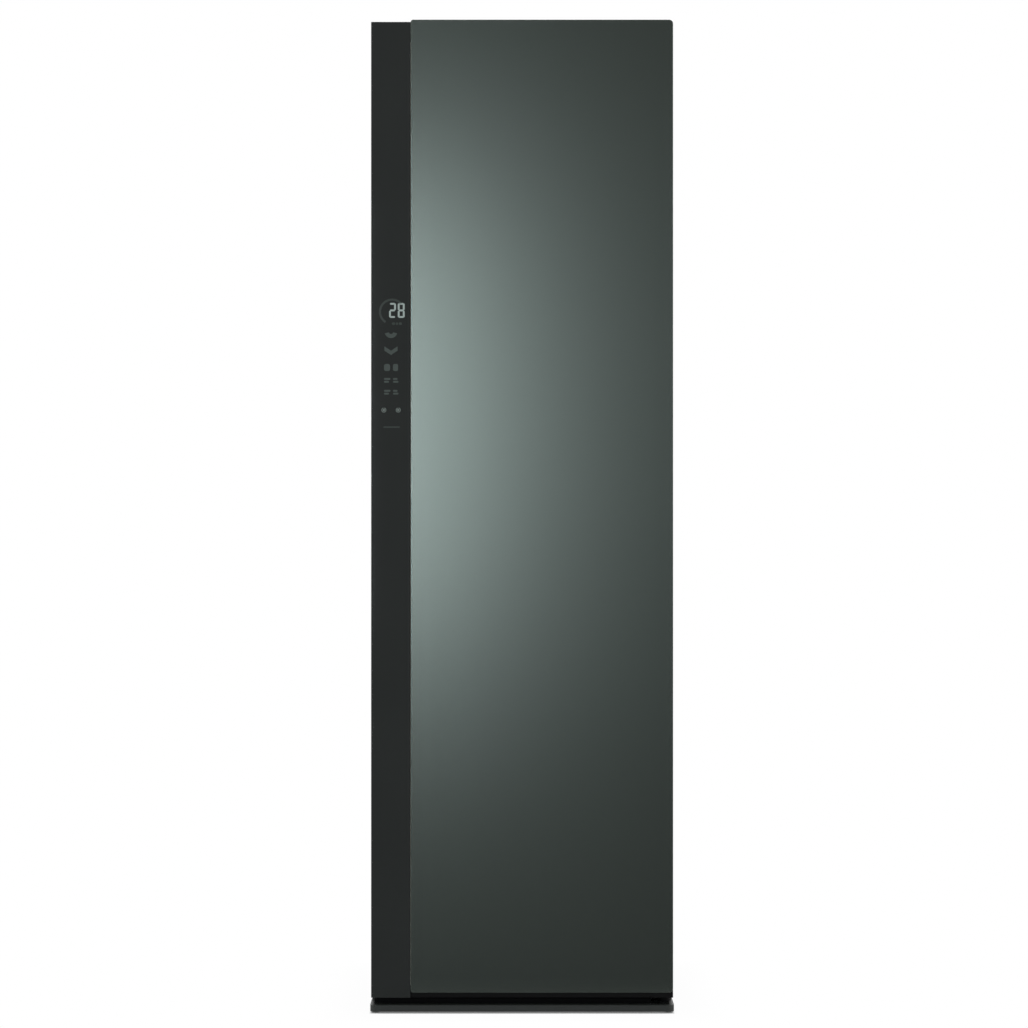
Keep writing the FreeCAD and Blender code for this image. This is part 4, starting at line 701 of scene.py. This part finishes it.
# lit digits, made of bars
digits = {
    "left": -0.2625, "low": 1.3715, "width": 0.0135, "height": 0.0295, "step": 0.0172, "bar": 0.0036,
    "show": "28",
}
barsOf = {"2": "abged", "8": "abcdefg"}
litTone = litMark("litDigits", (0.170, 0.200, 0.190), 0.8)
keyTone = litMark("keyTone", (0.045, 0.054, 0.050), 0.35)
faintTone = litMark("faintTone", (0.034, 0.040, 0.037), 0.3)
dotTone = litMark("softDots", (0.095, 0.112, 0.104), 0.45)
proud = 0.00015  # how far a mark stands out of the glass


def mark(name, x, z, width, height, edge=0.45):
    # a flat bar with round ends, a hair proud of the glass
    piece = block(name, (x, stripFace - proud, z), (x + width, stripFace + bite, z + height))
    roundCorners(piece, 1, min(width, height) * edge, 3)
    return piece


bars = []
w, h, t = digits["width"], digits["height"], digits["bar"]
spans = {
    "a": (t * 0.5, h - t, w - t, t), "g": (t * 0.5, h / 2 - t / 2, w - t, t), "d": (t * 0.5, 0, w - t, t),
    "f": (0, h / 2 + t * 0.2, t, h / 2 - t * 0.5), "b": (w - t, h / 2 + t * 0.2, t, h / 2 - t * 0.5),
    "e": (0, t * 0.3, t, h / 2 - t * 0.5), "c": (w - t, t * 0.3, t, h / 2 - t * 0.5),
}
for order, figure in enumerate(digits["show"]):
    left = digits["left"] + order * digits["step"]
    for letter in barsOf[figure]:
        x, z, wide, tall = spans[letter]
        bars.append(mark("digitBar", left + x, digits["low"] + z, wide, tall))
fit(joined("display_digits", bars), "door", "display", tone=litTone)


def curvedMark(name, x, z, radius, width, start, sweep, steps):
    # a thin slice across the bar, swept round a point on the glass
    turn = math.radians(start)
    out = Vector((math.cos(turn), 0, math.sin(turn)))
    ahead = Vector((-out.z, 0, out.x))
    centre = Vector((x, stripFace + (bite - proud) / 2, z))
    piece = plank(name, centre + out * radius, (width, proud + bite, 0.0001), (0, -turn, 0))
    pick(piece, "FACE", lambda f: f.normal.dot(ahead) < 0.9)
    bpy.ops.mesh.delete(type="FACE")
    bpy.ops.mesh.select_all(action="SELECT")
    bpy.ops.mesh.spin(steps=steps, angle=math.radians(sweep), center=centre, axis=(0, 1, 0))
    bpy.ops.mesh.select_all(action="SELECT")
    bpy.ops.mesh.remove_doubles(threshold=mergeWithin)
    bpy.ops.mesh.normals_make_consistent(inside=False)
    done()
    return piece


def chevronMark(name, x, z, width, height, arm):
    # a flat bar with its middle pulled down
    top = z + height / 2
    piece = block(name, (x - width / 2, stripFace - proud, top - arm), (x + width / 2, stripFace + bite, top))
    pick(piece, "EDGE", lambda e: runs(e, 0))
    bpy.ops.mesh.subdivide(number_cuts=1)
    done()
    pick(piece, "VERT", lambda v: abs(v.co.x - x) < 0.0001)
    bpy.ops.transform.translate(value=(0, 0, arm - height))
    done()
    return piece


# dim arc round the digits, the time label under them and the line under the keys
arc = {"x": -0.2565, "z": 1.3835, "radius": 0.0240, "width": 0.0042, "start": 42, "sweep": 195, "steps": 48}
timeLabel = {
    "left": -0.2570, "low": 1.3575, "height": 0.0052, "bars": (0.0064, 0.0048, 0.0064), "gap": 0.0012,
}
keyLine = {"x": -0.2740, "z": 1.1545, "width": 0.033, "height": 0.003}
faint = [curvedMark("arcMark", **arc)]
place = timeLabel["left"]
for wide in timeLabel["bars"]:
    faint.append(mark("timeLabel", place, timeLabel["low"], wide, timeLabel["height"]))
    place += wide + timeLabel["gap"]
faint.append(mark("keyLine", **keyLine))
fit(joined("dim_marks", faint), "door", "display", tone=faintTone)

# five keys: a crescent, a chevron, a pair of pads and two pairs of short lines
crescent = {
    "x": -0.2587, "z": 1.3442, "radius": 0.0085, "width": 0.0080, "start": 195, "sweep": 150, "steps": 20,
}
chevron = {"x": -0.2587, "z": 1.3068, "width": 0.0260, "height": 0.0170, "arm": 0.0085}
keyPads = {"z": 1.2736, "height": 0.0140, "corner": 0.32, "places": ((-0.2725, 0.0120), (-0.2548, 0.0102))}
keyLines = {
    "z": (1.2482, 1.2248), "height": 0.0038, "gap": 0.0018,
    "places": ((-0.2725, 0.0128, 0.0098), (-0.2548, 0.0090, 0.0108)),
}
marks = [curvedMark("crescent", **crescent), chevronMark("chevron", **chevron)]
tall = keyPads["height"]
for x, wide in keyPads["places"]:
    marks.append(mark("keyPad", x, keyPads["z"] - tall / 2, wide, tall, keyPads["corner"]))
tall, half = keyLines["height"], keyLines["gap"] / 2
for z in keyLines["z"]:
    for x, upper, lower in keyLines["places"]:
        marks.append(mark("keyText", x, z + half, upper, tall))
        marks.append(mark("keyText", x, z - half - tall, lower, tall))
fit(joined("key_marks", marks), "door", "display", tone=keyTone)

# two round keys, each an open ring round a dot
roundKeys = {"z": 1.1896, "places": (-0.2728, -0.2444), "dot": 0.0023, "dotSides": 28}
keyRing = {"radius": 0.0041, "width": 0.0014, "start": 100, "sweep": 340, "steps": 30}
dots = []
z = roundKeys["z"]
for x in roundKeys["places"]:
    dots.append(curvedMark("keyRing", x, z, **keyRing))
    front, rear = (x, stripFace - proud, z), (x, stripFace + bite, z)
    dots.append(rod("keyDot", roundKeys["dot"], front, rear, roundKeys["dotSides"]))
fit(joined("key_dots", dots), "door", "display", tone=dotTone)
print("door front made")


# bellows seal round the door
seal = {"across": 0.012, "waist": 0.0022, "lip": 0.0016, "edge": 0.0006}
low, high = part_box("door_gasket")
bpy.ops.object.select_all(action="DESELECT")
centre = (low + high) / 2
bpy.ops.mesh.primitive_plane_add(
    size=1, location=(centre.x, low.y, centre.z), rotation=(math.pi / 2, 0, 0)
)
gasket = bpy.context.object
gasket.scale = (high.x - low.x, high.z - low.z, 1)
bpy.ops.object.transform_apply(location=True, rotation=True, scale=True)
onlyThis(gasket)
bpy.ops.object.mode_set(mode="EDIT")
bpy.ops.mesh.select_mode(type="FACE")
bpy.ops.mesh.select_all(action="SELECT")
bpy.ops.mesh.inset(thickness=seal["across"])
bpy.ops.mesh.delete(type="FACE")
bpy.ops.mesh.select_all(action="SELECT")
bpy.ops.mesh.extrude_region_move(TRANSFORM_OT_translate={"value": (0, high.y - low.y, 0)})
bpy.ops.mesh.select_all(action="SELECT")
bpy.ops.mesh.normals_make_consistent(inside=False)
done()
pick(gasket, "FACE", lambda f: abs(f.normal.y) < 0.1)
bpy.ops.mesh.inset(thickness=seal["lip"], use_individual=False)
bpy.ops.transform.shrink_fatten(value=-seal["waist"])
done()
softEdges(gasket, seal["edge"])
gasket.name = "bellows_seal"
fit(gasket, "door", "gasket_rubber", ("door_gasket",))
print("seal made")

# raised beads across the back sheet
backBeads = {
    "count": 7, "low": 0.46, "high": 1.72, "reach": 0.205, "width": 0.016, "rise": 0.0030, "sunk": 0.0003,
    "rim": 0.0026,
}
low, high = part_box("back_panel")
step = (backBeads["high"] - backBeads["low"]) / (backBeads["count"] - 1)
reach, wide = backBeads["reach"], backBeads["width"]
bead = padded("bead", (-reach, high.y - backBeads["sunk"], backBeads["low"] - wide / 2),
              (reach, high.y + backBeads["rise"], backBeads["low"] + wide / 2),
              wide * 0.49, backBeads["rim"], (0, 1, 0))
fit(joined("back_beads", row(bead, backBeads["count"], (0, 0, step))), "cabinet", "zinc_steel")

# screws up both sides of the back sheet and along its top
backScrews = {"sideInset": 0.009, "sideCount": 8, "lowInset": 0.045, "endCount": 4, "endInset": 0.008}
side = high.x - backScrews["sideInset"]
tall = high.z - low.z - 2 * backScrews["lowInset"]
screw = screwHead("backScrew", (side, high.y, low.z + backScrews["lowInset"]), (0, 1, 0))
screws = [screw]
step = tall / (backScrews["sideCount"] - 1)
for i in range(backScrews["sideCount"]):
    if i:
        screws.append(another(screw, "backScrew", (0, 0, step * i)))
    screws.append(another(screw, "backScrew", (-2 * side, 0, step * i)))
top = tall + backScrews["lowInset"] - backScrews["endInset"]
for i in range(backScrews["endCount"]):
    across = 2 * side * (i + 1) / (backScrews["endCount"] + 1)
    screws.append(another(screw, "backScrew", (across - 2 * side, 0, top)))
fit(joined("back_screws", screws), "cabinet", "zinc_steel")

# bare plate where the ratings would be
plate = {
    "x": -0.215, "z": 0.345, "width": 0.092, "height": 0.056, "sheet": 0.0005, "sunk": 0.0001,
    "corner": 0.004, "rim": 0.0002,
}
plateTone = moulded("barePlate", (0.80, 0.81, 0.81), 0.34, 900, 0.00002, drift=0.03)
ratings = padded("bare_plate", (plate["x"], high.y - plate["sunk"], plate["z"]),
                 (plate["x"] + plate["width"], high.y + plate["sheet"], plate["z"] + plate["height"]),
                 plate["corner"], plate["rim"], (0, 1, 0))
fit(ratings, "cabinet", "inlet_plastic", tone=plateTone)
print("back detailed")


# frame and louvres over the air outlet
outlet = {
    "left": -0.201, "right": -0.063, "low": 1.484, "high": 1.578, "proud": 0.0030,
    "border": 0.011, "corner": 0.008, "edge": 0.0008,
}
louvre = {
    "count": 7, "shorter": 0.020, "thick": 0.0011, "deep": 0.0058, "sunk": 0.0013, "tilt": -24,
    "edge": 0.0003,
}
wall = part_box("liner_back")[0].y
frameRing = ring("outletFrame", (outlet["left"], wall - outlet["proud"], outlet["low"]),
                 (outlet["right"], wall, outlet["high"]), outlet["corner"], 5, outlet["border"])
softEdges(frameRing, outlet["edge"])
step = (outlet["high"] - outlet["low"] - 2 * outlet["border"]) / louvre["count"]
centre = ((outlet["left"] + outlet["right"]) / 2, wall - louvre["sunk"],
          outlet["low"] + outlet["border"] + step / 2)
wide = outlet["right"] - outlet["left"] - louvre["shorter"]
blade = plank("blade", centre, (wide, louvre["thick"], louvre["deep"]), (math.radians(louvre["tilt"]), 0, 0))
softEdges(blade, louvre["edge"])
blades = row(blade, louvre["count"], (0, 0, step))
fit(joined("outlet_louvres", [frameRing] + blades), "cabinet", "liner_plastic", tone=tones["bar_plastic"])

# ribbed lens
lens = {"ribs": 59, "ribDepth": 0.0011, "border": 0.0022}
low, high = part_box("interior_lamp")
lensFace = low.z + lens["ribDepth"]
lampLens = block("lamp_lens", (low.x, low.y, lensFace), high)
pick(lampLens, "FACE", lambda f: f.normal.z < -0.9)
bpy.ops.mesh.inset(thickness=lens["border"])
done()
rimX, rimY = high.x - lens["border"], (low.y + lens["border"], high.y - lens["border"])


def onLens(part):
    # on the lens's lower face, inside its border
    place = middle(part)
    return abs(place.z - lensFace) < 1e-5 and rimY[0] - 1e-4 < place.y < rimY[1] + 1e-4


pick(lampLens, "EDGE", lambda e: runs(e, 0) and onLens(e))
bpy.ops.mesh.subdivide(number_cuts=lens["ribs"])
done()
step = 2 * rimX / (lens["ribs"] + 1)
pick(lampLens, "VERT", lambda v: onLens(v) and abs(v.co.x) < rimX - 1e-4
     and round((v.co.x + rimX) / step) % 2 == 1)
bpy.ops.transform.translate(value=(0, 0, -lens["ribDepth"]))
done()
fit(lampLens, "cabinet", "lamp_lens", ("interior_lamp",), angle=20)

# ribs that keep clothes off the side walls
wallRibs = {
    "count": 6, "front": -0.150, "back": 0.190, "low": 0.640, "high": 1.640, "width": 0.0055,
    "rise": 0.0016, "corner": 0.0027, "rim": 0.0012, "wall": 0.012,
}
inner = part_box("liner_sides")[1].x - wallRibs["wall"]
front = wallRibs["front"]
step = (wallRibs["back"] - front) / (wallRibs["count"] - 1)
for sign, name in ((-1, "wall_ribs_left"), (1, "wall_ribs_right")):
    near, far = sorted((sign * (inner - wallRibs["rise"]), sign * (inner + bite)))
    rib = padded("rib", (near, front, wallRibs["low"]), (far, front + wallRibs["width"], wallRibs["high"]),
                 wallRibs["corner"], wallRibs["rim"], (-sign, 0, 0))
    fit(joined(name, row(rib, wallRibs["count"], (0, step, 0))), "cabinet", "liner_plastic")

# trims that close the slits between the tank bay and the front rails
bayTrim = {
    "inner": 0.2520, "outer": 0.2601, "front": -0.2152, "back": -0.2126, "low": 0.0600, "high": 0.3220,
    "edge": 0.0006,
}
trims = []
for near, far in ((-bayTrim["outer"], -bayTrim["inner"]), (bayTrim["inner"], bayTrim["outer"])):
    trim = block("trim", (near, bayTrim["front"], bayTrim["low"]), (far, bayTrim["back"], bayTrim["high"]))
    softEdges(trim, bayTrim["edge"])
    trims.append(trim)
fit(joined("bay_trims", trims), "cabinet", "frame_plastic")

# level scale on each tank: a spine and its ticks
tankScale = {
    "ticks": 7, "low": 0.100, "step": 0.018, "long": 0.016, "short": 0.009, "width": 0.0014,
    "inset": 0.022, "spineFrom": 0.004, "spineTo": 0.0028,
    "rise": 0.0005, "corner": 0.0006, "spineCorner": 0.0005, "rim": 0.0003,
}
scaleTone = moulded("scaleMarks", (0.60, 0.62, 0.62), 0.4, 900, 0.00002, drift=0.04)
scaleTop = tankScale["low"] + tankScale["step"] * (tankScale["ticks"] - 1) + tankScale["width"]
for node in ("supply_tank", "drain_tank"):
    low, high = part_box(node)
    start, front, rear = low.x + tankScale["inset"], low.y - tankScale["rise"], low.y + bite
    ticks = []
    for i in range(tankScale["ticks"]):
        z = tankScale["low"] + tankScale["step"] * i
        length = tankScale["short"] if i % 3 else tankScale["long"]
        ticks.append(padded("tick", (start, front, z), (start + length, rear, z + tankScale["width"]),
                            tankScale["corner"], tankScale["rim"], (0, -1, 0)))
    ticks.append(padded("spine", (start - tankScale["spineFrom"], front, tankScale["low"]),
                        (start - tankScale["spineTo"], rear, scaleTop),
                        tankScale["spineCorner"], tankScale["rim"], (0, -1, 0)))
    fit(joined(node + "_scale", ticks), node, "tank_plastic", tone=scaleTone)

# ribbed face of the trouser plate
plateRibs = {
    "count": 13, "left": -0.178, "right": 0.178, "low": 0.602, "high": 1.345, "width": 0.004, "rise": 0.0004,
    "corner": 0.0019, "rim": 0.0003, "plate": 0.006,
}
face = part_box("press_plate")[0].y + plateRibs["plate"]
rib = padded("rib", (plateRibs["left"], face - bite, plateRibs["low"]),
             (plateRibs["left"] + plateRibs["width"], face + plateRibs["rise"], plateRibs["high"]),
             plateRibs["corner"], plateRibs["rim"], (0, 1, 0))
step = (plateRibs["right"] - plateRibs["left"]) / (plateRibs["count"] - 1)
fit(joined("press_ribs", row(rib, plateRibs["count"], (step, 0, 0))), "door", "press_plastic")

# grip knurls on the front feet
knurl = {
    "count": 24, "radius": 0.020, "width": 0.0026, "low": 0.0014, "high": 0.0050, "rise": 0.0007,
    "edge": 0.0004,
}
size = (knurl["rise"] * 2, knurl["width"], knurl["high"] - knurl["low"])
for node in ("foot_front_left", "foot_front_right"):
    low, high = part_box(node)
    centre = (low + high) / 2
    ridges = []
    for i in range(knurl["count"]):
        angle = 2 * math.pi * i / knurl["count"]
        place = (centre.x + knurl["radius"] * math.cos(angle), centre.y + knurl["radius"] * math.sin(angle),
                 (knurl["low"] + knurl["high"]) / 2)
        ridge = plank("ridge", place, size, (0, 0, angle))
        softEdges(ridge, knurl["edge"])
        ridges.append(ridge)
    fit(joined(node + "_grip", ridges), node, "foot_steel")

# gauze panes in the filter's windows
gauze = {
    "windows": 5, "bar": 0.008, "rim": 0.006, "low": 0.0078, "high": 0.0882, "thick": 0.0015, "hem": 0.0013,
    "sunk": 0.0003,
}
gauzeTone = meshCloth("filterGauze", (0.30, 0.31, 0.31))
low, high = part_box("lint_filter")
left, right = low.x + gauze["rim"], high.x - gauze["rim"]
step = (right - left - gauze["bar"]) / gauze["windows"]
middleY = (low.y + high.y) / 2
pane = block("pane", (left + gauze["bar"] - bite, middleY - gauze["thick"] / 2, low.z + gauze["low"]),
             (left + step + bite, middleY + gauze["thick"] / 2, low.z + gauze["high"]))
pick(pane, "FACE", lambda f: abs(f.normal.y) > 0.9)
bpy.ops.mesh.inset(thickness=gauze["hem"], use_individual=True)
bpy.ops.transform.shrink_fatten(value=-gauze["sunk"])
done()
panes = row(pane, gauze["windows"], (step, 0, 0))
fit(joined("filter_gauze", panes), "lint_filter", "handle_plastic", tone=gauzeTone)

# slatted grille over the aroma case, half of it on each side of the ridge
grille = {
    "slats": 9, "wall": 0.008, "ridge": 0.005, "ridgeRise": 0.007, "width": 0.0022, "deep": 0.0035,
    "below": 0.0045, "edge": 0.0006,
}
low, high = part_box("aroma_case")
slatTop = high.z - grille["ridgeRise"] - grille["below"]
centreX = (low.x + high.x) / 2
reachX = (high.x - low.x) / 2 - grille["wall"]
step = (reachX - grille["ridge"]) / (grille["slats"] + 1)
start = centreX - reachX + step
slat = block("slat", (start - grille["width"] / 2, low.y + grille["wall"] - bite, slatTop - grille["deep"]),
             (start + grille["width"] / 2, high.y - grille["wall"] + bite, slatTop))
softEdges(slat, grille["edge"])
slats = row(slat, grille["slats"], (step, 0, 0))
for i in range(grille["slats"]):
    slats.append(another(slat, "slat", (reachX + grille["ridge"] + step * i, 0, 0)))
fit(joined("aroma_grille", slats), "aroma_case", "handle_plastic")

# soft saddles where the hooks hang
saddle = {
    "count": 5, "pitch": 0.070, "width": 0.0086, "thick": 0.0016, "depth": 0.0144, "floor": 0.012,
    "bar": 0.020,
}
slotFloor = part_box("hanger_bar")[0].z + saddle["bar"] - saddle["floor"]
first = -saddle["pitch"] * (saddle["count"] - 1) / 2
pad = block("saddle", (first - saddle["width"] / 2, -saddle["depth"], slotFloor - bite),
            (first + saddle["width"] / 2, saddle["depth"], slotFloor + saddle["thick"]))
pick(pad, "EDGE", lambda e: runs(e, 0) and middle(e).z > slotFloor)
bpy.ops.mesh.bevel(offset=saddle["thick"] * 0.9, segments=4, affect="EDGES")
done()
pads = row(pad, saddle["count"], (saddle["pitch"], 0, 0))
fit(joined("hook_saddles", pads), "hanger_bar", "bar_plastic", tone=tones["hose_rubber"])

# raised bead round the face of the press
pressBead = {"inset": 0.016, "hinge": 0.010, "width": 0.0050, "rise": 0.0012, "corner": 0.014, "edge": 0.0007}
low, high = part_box("press_panel")
inset = pressBead["inset"]
bead = ring("press_bead", (low.x + inset, high.y - bite, low.z + inset),
            (high.x - inset - pressBead["hinge"], high.y + pressBead["rise"], high.z - inset),
            pressBead["corner"], 6, pressBead["width"])
softEdges(bead, pressBead["edge"], 3)
fit(bead, "press_panel", "press_plastic")

# raised line round the recess in the door's liner
linerBead = {
    "side": 0.235, "low": 0.080, "high": 1.886, "width": 0.0060, "rise": 0.0014, "corner": 0.020,
    "edge": 0.0008,
}
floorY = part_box("press_plate")[0].y
side = linerBead["side"]
bead = ring("liner_bead", (-side, floorY - bite, linerBead["low"]),
            (side, floorY + linerBead["rise"], linerBead["high"]), linerBead["corner"], 8, linerBead["width"])
softEdges(bead, linerBead["edge"], 3)
fit(bead, "door", "liner_plastic")

# screws along the rear of the top sheet
topScrews = {"count": 4, "side": 0.270, "fromRear": 0.016}
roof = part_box("top_panel")[1]
screw = screwHead("topScrew", (-topScrews["side"], roof.y - topScrews["fromRear"], roof.z), (0, 0, 1))
step = 2 * topScrews["side"] / (topScrews["count"] - 1)
fit(joined("top_screws", row(screw, topScrews["count"], (step, 0, 0))), "cabinet", "cabinet_paint")

# capped screws on the hinge cover
coverCaps = {"x": 0.271, "places": (-0.240, -0.190), "radius": 0.0052, "rise": 0.0015}
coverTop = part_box("hinge_cover")[1].z
caps = []
for y in coverCaps["places"]:
    spot = (coverCaps["x"], y, coverTop)
    caps.append(screwHead("cap", spot, (0, 0, 1), coverCaps["radius"], coverCaps["rise"]))
fit(joined("hinge_cover_screws", caps), "cabinet", "base_plastic")
print("inside detailed")
